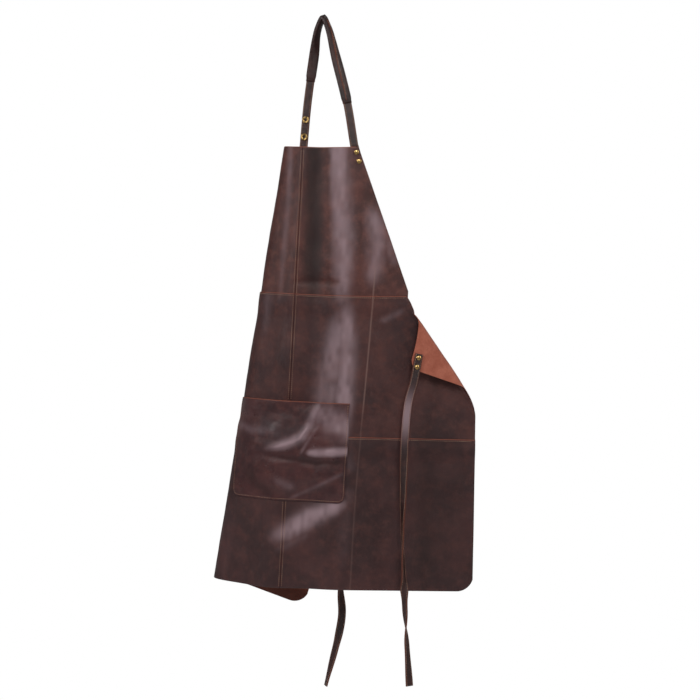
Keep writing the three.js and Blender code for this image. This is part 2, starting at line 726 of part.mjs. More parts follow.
function neckLoop() {
  const spare = SPARE_SOCKETS.map(nearestStation);
  const holes = spare.map((s) => ({ origin: s.point, normal: s.facing, radius: SNAP.neck + HOLE.clearance }));
  addLeather('neck_strap', pierced(ribbon(NECK), holes));
  addLeather('neck_pad', sleeve());
  spare.forEach((s, i) => {
    const axis = s.facing.y > 0 ? s.facing.clone().negate() : s.facing;
    addBrass(`spare_socket_${i + 1}`, snapSocket(s.point, axis));
  });
}

function neckEnds() {
  const start = -EDGE_MARGIN + BEND_GAP;
  const fixedEnd = strapEnd(SEATS.fixed, start, RIVET.pitch + END_MARGIN.fixed);
  addLeather('neck_strap_fixed_end', pierced(fixedEnd, rivetHoles(SEATS.fixed)));
  const socketHoles = [0, SNAP.pitch].map((d) => holeAt(SEATS.snapped, d, SNAP.neck));
  const snapEnd = strapEnd(SEATS.snapped, start, SNAP.pitch + END_MARGIN.snapped);
  addLeather('neck_strap_snap_end', pierced(snapEnd, socketHoles));
  [0, SNAP.pitch].forEach((distance, i) => {
    const word = ['upper', 'lower'][i];
    const toBib = SEATS.snapped.normal.clone().negate();
    addBrass(`snap_socket_${word}`, snapSocket(alongSeat(SEATS.snapped, distance), toBib));
    const base = alongSeat(SEATS.snapped, distance).addScaledVector(SEATS.snapped.normal, -SNAPPED);
    addBrass(`snap_stud_${word}`, snapStud(base, SEATS.snapped.normal));
  });
  addRivets('bib_rivet', SEATS.fixed);
}

// Rivets clamp a strap end against the inner face of the leather.
function addRivets(name, spot, domeInside = false) {
  const grip = LEATHER + GAP + STRAP.thick + HOLE.clearance;
  const middle = (LEATHER + GAP) / 2;
  const axis = domeInside ? spot.normal.clone().negate() : spot.normal;
  [0, RIVET.pitch].forEach((distance, i) => {
    const origin = alongSeat(spot, distance).addScaledVector(spot.normal, middle);
    addBrass(`${name}_${['upper', 'lower'][i]}`, rivet(origin, axis, grip));
  });
}

function ties() {
  [['right', RIGHT_TIE, RIGHT_TURNS], ['left', LEFT_TIE, LEFT_TURNS]].forEach(([side, offsets, turns]) => {
    const spot = SEATS[side];
    const end = strapEnd(spot, -END_MARGIN.tie, RIVET.pitch + TIE_MARGIN[side] - BEND_GAP);
    addLeather(`tie_${side}_end`, pierced(end, rivetHoles(spot)));
    addLeather(`tie_${side}`, ribbon(tieStations(spot, BEND[side], offsets, turns)));
    addRivets(`tie_${side}_rivet`, spot, true);
  });
}

panels();
neckLoop();
neckEnds();
ties();

export default group;
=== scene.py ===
import math

import bpy
import numpy as np
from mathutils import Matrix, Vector


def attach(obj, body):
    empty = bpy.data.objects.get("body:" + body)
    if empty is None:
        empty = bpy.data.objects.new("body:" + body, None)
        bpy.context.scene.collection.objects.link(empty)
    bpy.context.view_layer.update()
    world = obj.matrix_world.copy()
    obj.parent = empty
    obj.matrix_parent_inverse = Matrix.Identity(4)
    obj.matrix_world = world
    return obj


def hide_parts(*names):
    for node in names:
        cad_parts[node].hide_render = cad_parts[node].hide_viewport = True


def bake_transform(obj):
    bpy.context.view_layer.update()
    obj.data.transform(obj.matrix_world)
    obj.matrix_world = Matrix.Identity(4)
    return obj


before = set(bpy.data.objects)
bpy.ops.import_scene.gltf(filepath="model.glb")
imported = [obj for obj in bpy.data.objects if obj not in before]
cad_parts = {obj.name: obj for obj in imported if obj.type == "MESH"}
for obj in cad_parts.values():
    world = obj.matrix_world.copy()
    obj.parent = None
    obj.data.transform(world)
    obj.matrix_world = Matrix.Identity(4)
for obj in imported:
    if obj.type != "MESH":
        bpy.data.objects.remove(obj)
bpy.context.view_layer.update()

MM = 0.001

# ---- driving sizes, the same as in the CAD model ----
LEATHER = 1.6
GAP = 0.35
LAP_LIFT = LEATHER + GAP
LAP = 12
LENGTH = 800
HALF_WIDTH = 346
HEM_HALF_WIDTH = 358
BIB_HALF_TOP, BIB_TOP_CENTRE, BIB_TOP_SIDE = 96, -2.5, -8
BIB_CORNER = (108, 8)
BIB_TIP = 207.5
WAIST = (211, 257)
WING_EDGE, WING_RADIUS = 327, 20
SIDE_CURVE = (405, 475)
HIP_SEAM = 521
HEM_RADIUS = 30
SEAM_SAG = 7
HIP_RISE = 0.021
HEM_RISE = 0.02
ARMHOLE_FROM, ARMHOLE_STEP, ARMHOLE_DROP, ARMHOLE_EASE, ARMHOLE_FALL = 202, 24, 28, 90, 15
CENTRE_GAP = 0.3
POCKET_HALF, POCKET_TOP, POCKET_BOTTOM, POCKET_RADIUS, POCKET_BULGE = 110, 458, 640, 14, 13
STRAP_WIDTH, STRAP_THICK = 15, 2.4
SLEEVE_WIDTH, SLEEVE_THICK = 18.5, 8.4
SLEEVE_RIGHT, SLEEVE_LEFT = -154, -111
SPARE_SOCKETS = (-180, -210)
RIVET_HEAD, RIVET_POST, RIVET_PITCH, RIVET_RISE, RIVET_BACK = 4.6, 1.5, 17, 2.6, 1.4
SNAP_RING, SNAP_BORE, SNAP_HEIGHT, SNAP_PITCH = 6.4, 2.3, 2.2, 30
SNAP_STUD, SNAP_NECK, SNAP_CAP = 1.4, 3, 1.8
BEND_GAP = 1.5
EDGE_MARGIN = 12
TIE_MARGIN = {1: 12, -1: 28}
FAN = {"a": 24, "b": -512, "left": -26, "right": 24, "step": 0.25}
BENDS = [(2.7, 4.5, -36), (1.0, 4.0, 38), (-2.1, 2.6, -44.5), (-8.6, 6.3, -160)]
LEAN, PITCH, YAW = 2.9, 1.1, 9.9
TOP_CENTRE_X, TOP_CENTRE_Z = -36.2, -235
FOLD_START, FOLD_SLOPE, FOLD_RADIUS = (221, 288), 37.2, 8
FOLD_TURN = {1: 172, -1: 112}
# A pair that is given to eased(), such as LAP_TAPER, says where a change starts and how long it runs.
LAP_TAPER = (LAP + 3, LAP + 20)
BIB_LAP_TAPER, BIB_LAP_CUT = (180, 18), 0.9
FIRST_FASTENER = {"fixed": (98, 2), "snapped": (-90, 2)}
TIE_FASTENER = (304, 311)
SLANT = {"fixed": 17, "snapped": -7, "tie": -13}
LOOP_RIGHT = [(44, -153), (23.5, -69), (9.5, -14)]
LOOP_LEFT = [(-9.5, -14), (-17.8, -69), (-29, -150)]

# ---- sizes of the fine work ----
GRID, POCKET_GRID = 2.3, 1.8
CHAMFER, CUT_SIGHT = 0.9, 2.2
RIM_NEAR = (CHAMFER, CUT_SIGHT)
MID_LENGTH = 300.0
SEAM_PITCH, SEAM_ROW, CENTRE_ROW = 3.6, 3.4, 2.4
POCKET_PITCH, POCKET_INSET = 3.3, 3.2
STRAP_PITCH, STRAP_ROW, SLEEVE_PITCH = 3.1, 1.9, 3.2
THREAD_RADIUS, THREAD_ARCH, THREAD_SUNK, THREAD_SIDES = 0.48, 0.2, 0.3, 5
THREAD_SWELL = [(0.0, 0.45), (0.25, 0.95), (0.75, 0.95), (1.0, 0.45)]
STITCH_SHARE = 0.5
HOLE_RADIUS, HOLE_SIDES = 0.5, 6
HOLE_RINGS = [(-0.2, 0.8), (0.05, 1.0), (0.12, 0.5)]
NOISE_SIZE, NOISE_START = 64, (32, 7)
SIDES = {"left": -1, "right": 1}


# ---- small maths ----
def smooth(t):
    t = np.clip(t, 0, 1)
    return t * t * (3 - 2 * t)


def eased(v, start, length):
    """From 0 at the start up to 1 at a length beyond it."""
    return smooth((v - start) / length)


def mix(p, q, t):
    return p + (q - p) * t


def unit(v):
    return v / np.linalg.norm(v, axis=-1, keepdims=True)


def spin(v, axis, angle):
    """v turned about a unit axis by angle radians."""
    return (v * math.cos(angle) + np.cross(axis, v) * math.sin(angle)
            + axis * np.dot(axis, v) * (1 - math.cos(angle)))


def rightward(v):
    return v if v[0] > 0 else -v


def circle(sides):
    return [2 * math.pi * i / sides for i in range(sides)]


def ring(centre, radius, across, along, sides):
    return [centre + radius * (across * math.cos(q) + along * math.sin(q)) for q in circle(sides)]


def distances(points):
    """How far along its line each point lies."""
    return np.concatenate([[0], np.cumsum(np.linalg.norm(np.diff(points, axis=0), axis=1))])


def read_off(s, length, values):
    return np.stack([np.interp(s, length, values[:, k]) for k in range(3)], axis=-1)


def value_noise(x, y, cell, seed):
    """Smooth noise from -1 to 1 over x and y, with one random value for each cell corner."""
    table = np.random.default_rng(seed).uniform(-1, 1, (NOISE_SIZE, NOISE_SIZE))
    gx, gy = x / cell + NOISE_START[0], y / cell + NOISE_START[1]
    ix, iy = np.floor(gx).astype(int), np.floor(gy).astype(int)
    fx, fy = smooth(gx - ix), smooth(gy - iy)
    corner = lambda dx, dy: table[(ix + dx) % NOISE_SIZE, (iy + dy) % NOISE_SIZE]
    low = mix(corner(0, 0), corner(1, 0), fx)
    high = mix(corner(0, 1), corner(1, 1), fx)
    return mix(low, high, fy)


def noise_layers(x, y, layers):
    """Noise in layers, each with its rise, cell and seed."""
    return sum(rise * value_noise(x, y, cell, seed) for rise, cell, seed in layers)


# ---- how the flat pattern is draped ----
# Pattern coordinates: a across from the centre seam, b down from the top of the bib, h outwards.
def turn_at(angle):
    return sum(turn * float(smooth((angle - centre) / width + 0.5)) for centre, width, turn in BENDS)


def ruling_frames():
    """The ruling and the normal for each step of the fan, from its flat right end to the left."""
    start = math.radians(FAN["right"])
    ruling = np.array([math.sin(start), math.cos(start), 0.0])
    normal = np.array([0.0, 0.0, 1.0])
    rulings, normals = [ruling], [normal]
    count = round((FAN["right"] - FAN["left"]) / FAN["step"])
    for i in range(count):
        angle = FAN["right"] - i * FAN["step"]
        bend = math.radians(turn_at(angle) - turn_at(angle - FAN["step"]))
        turning = normal * math.radians(FAN["step"]) + ruling * bend
        size = float(np.linalg.norm(turning))
        ruling, normal = (spin(v, turning / size, size) for v in (ruling, normal))
        rulings.append(ruling)
        normals.append(normal)
    return np.array(rulings), np.array(normals)


RULINGS, NORMALS = ruling_frames()
# Just short of the last ruling, so that there is always a next one to mix with.
LAST_STEP = len(RULINGS) - 1.001


def turn_matrix(axis, degrees):
    return np.array([spin(e, np.array(axis, float), math.radians(degrees)) for e in np.eye(3)]).T


HANG = (turn_matrix((0, 0, 1), YAW) @ turn_matrix((1, 0, 0), PITCH) @ turn_matrix((0, 1, 0), LEAN)
        @ np.array([[1, 0, 0], [0, 0, -1], [0, -1, 0]], float))


def on_cone(a, b, h):
    da, db = a - FAN["a"], b - FAN["b"]
    angle = np.degrees(np.arctan2(da, db))
    step = np.clip((FAN["right"] - angle) / FAN["step"], 0, LAST_STEP)
    index = np.floor(step).astype(int)
    share = (step - index)[..., None]
    ruling = unit(mix(RULINGS[index], RULINGS[index + 1], share))
    normal = unit(mix(NORMALS[index], NORMALS[index + 1], share))
    apex = np.array([FAN["a"], FAN["b"], 0.0])
    return apex + np.hypot(da, db)[..., None] * ruling + np.asarray(h)[..., None] * normal


# One step square to the fold line of a wing corner.
FOLD_A, FOLD_B = math.cos(math.radians(FOLD_SLOPE)), -math.sin(math.radians(FOLD_SLOPE))


def fold_reach(a, b):
    """How far a pattern point lies past the start of its wing corner's fold."""
    from_a, from_b = np.abs(a) - FOLD_START[0], b - FOLD_START[1]
    above = np.minimum(0, from_b * FOLD_A - from_a * FOLD_B)
    return from_a * FOLD_A + from_b * FOLD_B + FOLD_RADIUS + 2 * above


def draped(a, b, h):
    a, b, h = np.broadcast_arrays(np.asarray(a, float), np.asarray(b, float), np.asarray(h, float))
    side = np.where(a < 0, -1.0, 1.0)
    reach = fold_reach(a, b)
    full = np.where(side > 0, math.radians(FOLD_TURN[1]), math.radians(FOLD_TURN[-1]))
    turn = np.clip(reach / FOLD_RADIUS, 0, full)
    past = np.maximum(reach, 0)
    beyond = past - FOLD_RADIUS * turn
    shift = (FOLD_RADIUS - h) * np.sin(turn) + beyond * np.cos(turn) - past
    lift = FOLD_RADIUS * (1 - np.cos(turn)) + beyond * np.sin(turn) + h * np.cos(turn)
    return on_cone(side * (np.abs(a) + shift * FOLD_A), b + shift * FOLD_B, lift) @ HANG.T


ORIGIN_SHIFT = np.array([TOP_CENTRE_X, 0.0, TOP_CENTRE_Z]) - draped(0, 0, 0)


def place(a, b, h):
    return draped(a, b, h) + ORIGIN_SHIFT


class Seat:
    """Where a strap lies on the sheet; lean is its slant as seen from the front, in degrees."""

    def __init__(self, a, b, height, lean):
        self.origin = place(a, b, height)
        self.normal = unit(place(a, b, height + 1) - self.origin)
        down = np.array([math.sin(math.radians(lean)), 0, -math.cos(math.radians(lean))])
        self.down = unit(down - self.normal * np.dot(down, self.normal))
        self.across = unit(np.cross(self.normal, self.down))

    def along(self, distance):
        return self.origin + self.down * distance


INNER = -(GAP + STRAP_THICK / 2)
SNAPPED = LEATHER + GAP + SNAP_HEIGHT + STRAP_THICK / 2


def make_seats():
    seats = {side: Seat(side * TIE_FASTENER[0], TIE_FASTENER[1], INNER, SLANT["tie"]) for side in (1, -1)}
    seats["fixed"] = Seat(*FIRST_FASTENER["fixed"], INNER, SLANT["fixed"])
    seats["snapped"] = Seat(*FIRST_FASTENER["snapped"], SNAPPED, SLANT["snapped"])
    return seats


# The loop's apex stands over the origin: the whole sheet is shifted in depth until it does.
trial = make_seats()
ends = [trial[key].along(-EDGE_MARGIN) for key in ("fixed", "snapped")]
ORIGIN_SHIFT[1] -= mix(ends[0][1], ends[1][1], -ends[0][0] / (ends[1][0] - ends[0][0]))
SEATS = make_seats()
BEND = {key: SEATS[key].along(-EDGE_MARGIN) for key in ("fixed", "snapped")}
BEND.update({side: SEATS[side].along(RIVET_PITCH + TIE_MARGIN[side]) for side in (1, -1)})


# ---- pattern outlines ----
def waist_seam(a):
    return WAIST[1] + SEAM_SAG * (1 - (a / WAIST[0]) ** 2)


def hip_seam(a):
    return HIP_SEAM - HIP_RISE * np.abs(a)


def lap_lift(past):
    """How high a panel stands on the lap beneath it, by the distance past the seam."""
    return LAP_LIFT * (1 - eased(past, *LAP_TAPER))


def bib_top(a):
    return mix(BIB_TOP_CENTRE, BIB_TOP_SIDE, (a / BIB_HALF_TOP) ** 2)


def bib_edge(b):
    into_corner = np.sqrt(np.clip((b - BIB_TOP_SIDE) / (BIB_CORNER[1] - BIB_TOP_SIDE), 0, 1))
    slanted = mix(BIB_CORNER[0], WAIST[0], (b - BIB_CORNER[1]) / (WAIST[1] - BIB_CORNER[1]))
    rounded = mix(BIB_HALF_TOP, BIB_CORNER[0], into_corner)
    return np.minimum(np.where(b < BIB_CORNER[1], rounded, slanted), BIB_TIP)


def arc_into(radius, depth):
    """How far a rounded corner has fallen off, depth past where its arc begins."""
    return radius - np.sqrt(np.maximum(0, radius ** 2 - np.maximum(0, depth) ** 2))


def middle_top(a):
    left = 1 - np.clip((a - ARMHOLE_FROM - ARMHOLE_STEP / 2) / ARMHOLE_EASE, 0, 1)
    drop = ARMHOLE_DROP * eased(a, ARMHOLE_FROM, ARMHOLE_STEP)
    armhole = drop + ARMHOLE_FALL * (1 - left ** 2)
    return waist_seam(np.minimum(a, WAIST[0])) + armhole + arc_into(WING_RADIUS, a - WING_EDGE + WING_RADIUS)


def bib_foot(a):
    """The bib's lower edge, a lap below the seam; the lap dies away towards the side."""
    return middle_top(np.abs(a)) + LAP * (1 - BIB_LAP_CUT * eased(np.abs(a), *BIB_LAP_TAPER))


def side_edge(b):
    flare = np.maximum(0, b - SIDE_CURVE[1]) / (LENGTH - SIDE_CURVE[1])
    return (mix(WING_EDGE, HALF_WIDTH, smooth((b - SIDE_CURVE[0]) / (SIDE_CURVE[1] - SIDE_CURVE[0])))
            + (HEM_HALF_WIDTH - HALF_WIDTH) * flare)


def hem(a):
    return LENGTH - HEM_RISE * a - arc_into(HEM_RADIUS, a - HEM_HALF_WIDTH + HEM_RADIUS)


def pocket_foot(a):
    return POCKET_BOTTOM - arc_into(POCKET_RADIUS, np.abs(a) - POCKET_HALF + POCKET_RADIUS)


# ---- relief of the used leather, the same for every layer ----
CREASE_AT, CREASE_LEAN, CREASE_TURNS = 143, 14, (200, 500)
CREASE_BEGINS, CREASE_WEAKENS, CREASE_WEAK = (195, 45), (440, 70), 0.3
RIDGE_RISE, RIDGE_REACH, RIDGE_POWER = 1.5, 16, 1.6
CALM_TOP, CALM_RADIUS, CALM_CORE = (15, 60), 60, 0.3
SEAM_CLIMB = (-25, 20)
SWELL_SIDE, SWELL_FOOT, SEWN_FLAT, POCKET_LOFT = 60, 70, 30, 1.2
STROKE_END, STROKE_FADE, STROKE_FALL = 0.6, 4, 2.8
WAVES = [(1.5, 95, 3), (0.7, 42, 5), (0.22, 17, 8)]
WRINKLES, WRINKLE_SLANT = [(1.6, 34, 21), (0.6, 13, 22)], (0.8, 0.5)
# Noise that breaks up the painted highlight, and how far it is stretched down the pattern.
HIGHLIGHT_BREAKUP, HIGHLIGHT_BREAKUP_STRETCH = [(0.22, 34, 31), (0.2, 7, 32)], 0.5


def fold_crease(b):
    """Where the long standing crease crosses height b of the pattern."""
    return CREASE_AT - CREASE_LEAN * eased(b, *CREASE_TURNS)


def crease_strength(b):
    return eased(b, *CREASE_BEGINS) * mix(1.0, CREASE_WEAK, eased(b, *CREASE_WEAKENS))


# Painted highlights where the oiled leather catches the light, and painted shade (below 0) where shade
# falls: pattern points, reach to each side, paleness and rise; the rise is real relief.
HIGHLIGHT_SHADE_STROKES = [
    ([(52, -120), (70, 91), (80, 163), (88, 330)], 40, 0.68, 1.2),
    ([(-28, -90), (-24, 95), (-27, 168), (-30, 330)], 15, 0.3, 0.8),
    ([(124, 80), (145, 153), (143, 199), (138, 262)], 34, 0.55, 1.0),
    ([(184, 214), (156, 140)], 26, 0.3, 0.4),
    ([(88, 230), (91, 262)], 16, 0.35, 0.8),
    ([(-15, 244), (38, 241), (94, 238)], 14, -0.25, -1.6),
    ([(18, -120), (28, 120), (34, 340)], 38, -0.9, -0.8),
    ([(90, 240), (99, 343), (100, 415), (92, 580)], 32, 0.8, 1.2),
    ([(98, 250), (78, 380), (50, 560)], 46, 0.55, 0.0),
    ([(-55, 250), (-57, 356)], 26, 0.28, 0.8),
    ([(-20, 270), (-16, 460)], 40, -0.35, 0.0),
    ([(150, 312), (210, 278)], 14, 0.3, 0.8),
    ([(-34, 722), (49, 668), (130, 628)], 34, 0.7, 1.2),
    ([(-20, 736), (60, 690)], 20, 0.22, 0.6),
    ([(116, 500), (110, 790)], 30, 0.18, 0.5),
    ([(-118, 620), (-124, 830)], 36, 0.12, 0.6),
    ([(270, 420), (280, 840)], 150, -0.4, 0.0),
    ([(30, 600), (150, 596)], 26, -0.3, 0.0),
]
# Painted highlights and painted shade on the pocket's wrinkles, in the same columns; the rise is real
# relief.
POCKET_HIGHLIGHT_SHADE_STROKES = [
    ([(72, 440), (29, 519), (-45, 556)], 20, 0.62, 1.4),
    ([(48, 490), (20, 524), (-32, 550)], 9, 0.85, 0.8),
    ([(98, 446), (45, 520), (10, 574)], 9, 0.35, 1.0),
    ([(24, 552), (80, 548), (140, 542)], 15, 0.85, 1.6),
    ([(36, 466), (90, 494), (140, 520)], 44, 0.6, 0.6),
    ([(-50, 556), (60, 569), (140, 562)], 13, -0.55, -2.2),
    ([(-130, 503), (-60, 516), (0, 516)], 17, 0.3, 0.9),
    ([(-90, 584), (-45, 612), (-10, 640)], 34, -0.55, -0.8),
    ([(-60, 596), (30, 618)], 20, 0.3, 0.8),
    ([(124, 575), (60, 610), (-14, 648)], 9, 0.26, 1.3),
    ([(-110, 450), (-60, 500)], 34, 0.14, 0.5),
]
# Painted shadow: the flesh side is darkened at the hem's left corner, where the front of the apron shades
# it.
PAINTED_SHADOW_SIDE, PAINTED_SHADOW_FOOT, PAINTED_SHADOW_STRENGTH = (180, 60), (735, 40), -0.75


def stroke_strength(a, b, points, width):
    """From 1 on a line through the pattern points down to 0 beside it and at its ends, softly."""
    ends = distances(np.array(points, float))
    ends = ends / ends[-1]
    strength = 0.0 * a
    for (a0, b0), (a1, b1), first, last in zip(points, points[1:], ends, ends[1:]):
        da, db = a1 - a0, b1 - b0
        t = np.clip(((a - a0) * da + (b - b0) * db) / (da * da + db * db), 0, 1)
        along = mix(first, last, t)
        reach = width * mix(STROKE_END, 1, np.sin(np.pi * along))
        near = np.hypot(a - a0 - t * da, b - b0 - t * db) / reach
        fade = smooth(STROKE_FADE * np.minimum(along, 1 - along))
        strength = np.maximum(strength, np.exp(-STROKE_FALL * near ** 2) * fade)
    return strength


def painted_highlight_and_shade(a, b, strokes):
    """From -1, painted shade, to 1, painted highlight, with the highlight broken up by noise."""
    pale, dark = 0.0 * a, 0.0 * a
    for points, width, tone, _ in strokes:
        strength = abs(tone) * stroke_strength(a, b, points, width)
        if tone > 0:
            pale = np.maximum(pale, strength)
        else:
            dark = np.maximum(dark, strength)
    return np.clip(pale * (1 + noise_layers(a, b * HIGHLIGHT_BREAKUP_STRETCH, HIGHLIGHT_BREAKUP)) - dark, -1, 1)


def stroke_rise(a, b, strokes):
    return sum(rise * stroke_strength(a, b, points, width) for points, width, _, rise in strokes)


def relief(a, b):
    away = np.abs(a - fold_crease(b))
    ridge = RIDGE_RISE * crease_strength(b) * np.clip(1 - away / RIDGE_REACH, 0, 1) ** RIDGE_POWER
    calm = eased(b, *CALM_TOP)
    for spot_a, spot_b in (TIE_FASTENER, WAIST):
        calm = calm * smooth(np.hypot(np.abs(a) - spot_a, b - spot_b) / CALM_RADIUS - CALM_CORE)
    return calm * (ridge + stroke_rise(a, b, HIGHLIGHT_SHADE_STROKES) + noise_layers(a, b, WAVES))


def pocket_lift(a, b):
    """How far the pocket stands off the body: over the hip seam, swollen, and flat where it is sewn."""
    past = b - hip_seam(a)
    in_side, in_foot = POCKET_HALF - np.abs(a), POCKET_BOTTOM - b
    over_seam = eased(past, *SEAM_CLIMB) * lap_lift(past)
    bulge = POCKET_BULGE * smooth(in_side / SWELL_SIDE) * smooth(in_foot / SWELL_FOOT)
    slanted_a, slanted_b = a + WRINKLE_SLANT[0] * b, b - WRINKLE_SLANT[1] * a
    wrinkles = noise_layers(slanted_a, slanted_b, WRINKLES) + stroke_rise(a, b, POCKET_HIGHLIGHT_SHADE_STROKES)
    soft = smooth(in_side / SEWN_FLAT) * smooth(in_foot / SEWN_FLAT)
    return LAP_LIFT + over_seam + bulge + (wrinkles + POCKET_LOFT) * soft


# ---- materials ----
def linear(hex_colour):
    """A hex colour as linear light, with alpha."""
    channels = [int(hex_colour[i:i + 2], 16) / 255 for i in (0, 2, 4)]
    return [c / 12.92 if c <= 0.04045 else ((c + 0.055) / 1.055) ** 2.4 for c in channels] + [1.0]


class Nodes:
    """Short ways to add the nodes of one material; each method gives the new node's output."""

    def __init__(self, name):
        self.material = bpy.data.materials.new(name)
        self.material.use_nodes = True
        self.tree = self.material.node_tree
        self.shader = self.tree.nodes["Principled BSDF"]

    def feed(self, socket, value):
        """Joins an output to the socket, or sets the socket to a number or colour."""
        if isinstance(value, bpy.types.NodeSocket):
            self.tree.links.new(value, socket)
        else:
            socket.default_value = value

    def add(self, kind, output, inputs, **settings):
        node = self.tree.nodes.new("ShaderNode" + kind)
        for key, value in settings.items():
            setattr(node, key, value)
        for key, value in inputs.items():
            self.feed(node.inputs[key], value)
        return node.outputs[output]

    def attribute(self, name):
        return self.add("Attribute", "Fac", {}, attribute_name=name)

    def pattern(self):
        return self.add("UVMap", "UV", {}, uv_map="pattern")

    def solid(self):
        return self.add("TexCoord", "Object", {})

    def stretched(self, vector, scale):
        return self.add("Mapping", "Vector", {"Vector": vector, "Scale": scale})

    def noise(self, vector, scale, detail=3.0, roughness=0.55):
        inputs = {"Vector": vector, "Scale": scale, "Detail": detail, "Roughness": roughness}
        return self.add("TexNoise", "Fac", inputs)

    def cells(self, vector, scale):
        inputs = {"Vector": vector, "Scale": scale}
        return self.add("TexVoronoi", "Distance", inputs, feature="DISTANCE_TO_EDGE")

    def ramp(self, value, low, high, to_low=0.0, to_high=1.0):
        inputs = {"Value": value, "From Min": low, "From Max": high, "To Min": to_low, "To Max": to_high}
        return self.add("MapRange", "Result", inputs, interpolation_type="SMOOTHSTEP")

    def times(self, value, number):
        return self.add("Math", "Value", {0: value, 1: number}, operation="MULTIPLY")

    def blend(self, factor, first, second):
        """A mix of two colours, by the mix node's own numbers for its colour sockets."""
        inputs = {"Factor": factor, MIX_FIRST: first, MIX_SECOND: second}
        return self.add("Mix", MIX_RESULT, inputs, data_type="RGBA")

    def bump(self, height, distance, strength, under=None):
        inputs = {"Height": height, "Distance": distance, "Strength": strength}
        if under is not None:
            inputs["Normal"] = under
        return self.add("Bump", "Normal", inputs)

    def finish(self, colour, roughness, normal, **constants):
        surface = {"Base Color": colour, "Roughness": roughness, "Normal": normal}
        for key, value in {**surface, **constants}.items():
            self.feed(self.shader.inputs[key.replace("_", " ")], value)
        return self.material


MIX_FIRST, MIX_SECOND, MIX_RESULT = 6, 7, 2
# The first two are the tones of the painted highlight and the painted shade; the crease tone is partly pale
# creased leather and partly painted highlight.
PAINTED_HIGHLIGHT_TONE, PAINTED_SHADE_TONE, CREASE_PALE_AND_HIGHLIGHT_TONE, WORN_TONE = "a08990", "1c0e0f", "8d6f67", "8a4c39"
# The last of these is the tone of a painted shadow on the flesh side.
SUEDE_TONES, NAP_TONE, SUEDE_PAINTED_SHADOW = ("98523f", "b56d58"), "8a4636", "2a1410"
BRASS_TONES, HOLLOW_TONE, FLOOR_TONES = ("c4a46a", "7d6440"), "2a1c10", ("f4f4f4", "fbfbfb")


def grain_leather(name, dark, base, warm, gloss):
    """Oiled pull-up leather: cloudy brown, paler where it is cut, with painted highlights and painted shade
    in its colour, a crease line that is partly pale leather and partly painted highlight, and a fine grain.
    """
    n = Nodes(name)
    at = n.pattern()
    clouds = n.ramp(n.noise(at, 11, 4), 0.38, 0.66)
    blotches = n.ramp(n.noise(at, 46, 5, 0.65), 0.42, 0.72)
    streaks = n.ramp(n.noise(n.stretched(at, (1.0, 0.35, 1.0)), 150, 3), 0.5, 0.8)
    pale = n.attribute("pale")
    colour = n.blend(clouds, linear(dark), linear(base))
    for factor, tone in (
        (n.times(blotches, 0.55), warm),
        (n.times(streaks, 0.25), warm),
        # Painted shade where pale is below 0, painted highlight where it is above 0, and the crease line
        # partly pale leather, partly painted highlight.
        (n.ramp(pale, -1.0, 0.0, 0.85, 0.0), PAINTED_SHADE_TONE),
        (n.ramp(pale, 0.0, 1.0, 0.0, 0.85), PAINTED_HIGHLIGHT_TONE),
        (n.times(n.attribute("crease"), 0.5), CREASE_PALE_AND_HIGHLIGHT_TONE),
        (n.attribute("worn"), WORN_TONE),
    ):
        colour = n.blend(factor, colour, linear(tone))
    rough = n.ramp(n.noise(at, 30, 4), 0.3, 0.7, gloss - 0.06, gloss + 0.07)
    normal = n.bump(n.noise(at, 95, 4, 0.6), 0.0009, 0.35)
    normal = n.bump(n.ramp(n.cells(at, 950), 0.0, 0.25), 0.00022, 0.5, normal)
    normal = n.bump(n.noise(at, 1900, 2), 0.00012, 0.5, normal)
    return n.finish(colour, rough, normal, Specular_IOR_Level=0.34, Coat_Weight=0.06, Coat_Roughness=0.3)


def suede(name):
    """The napped flesh side."""
    n = Nodes(name)
    at = n.pattern()
    clouds = n.ramp(n.noise(at, 30, 7, 0.72), 0.3, 0.7)
    nap = n.noise(n.stretched(at, (1.0, 0.5, 1.0)), 900, 4, 0.7)
    colour = n.blend(clouds, *map(linear, SUEDE_TONES))
    colour = n.blend(n.ramp(nap, 0.35, 0.7, 0.0, 0.4), colour, linear(NAP_TONE))
    # Painted shadow on the flesh side where the pale attribute is below 0.
    colour = n.blend(n.ramp(n.attribute("pale"), -1.0, 0.0, 0.9, 0.0), colour, linear(SUEDE_PAINTED_SHADOW))
    rough = n.ramp(nap, 0.2, 0.8, 0.88, 0.98)
    normal = n.bump(nap, 0.0005, 0.8, n.bump(n.noise(at, 170, 4), 0.0012, 0.45))
    return n.finish(colour, rough, normal, Specular_IOR_Level=0.25, Sheen_Weight=0.35, Sheen_Roughness=0.5)


def raw_edge(name, low, high):
    """The cut edge of the leather: fibres in two browns."""
    n = Nodes(name)
    fibres = n.noise(n.solid(), 700, 4, 0.7)
    colour = n.blend(n.ramp(fibres, 0.35, 0.65), linear(low), linear(high))
    rough = n.ramp(fibres, 0.2, 0.8, 0.7, 0.9)
    return n.finish(colour, rough, n.bump(fibres, 0.0003, 0.7), Specular_IOR_Level=0.3)


def thread(name, low, high):
    n = Nodes(name)
    at = n.solid()
    strands = n.noise(at, 1400, 3)
    colour = n.blend(n.ramp(n.noise(at, 60, 2), 0.35, 0.65), linear(low), linear(high))
    rough = n.ramp(strands, 0.2, 0.8, 0.5, 0.7)
    return n.finish(colour, rough, n.bump(strands, 0.0002, 0.6), Sheen_Weight=0.2)


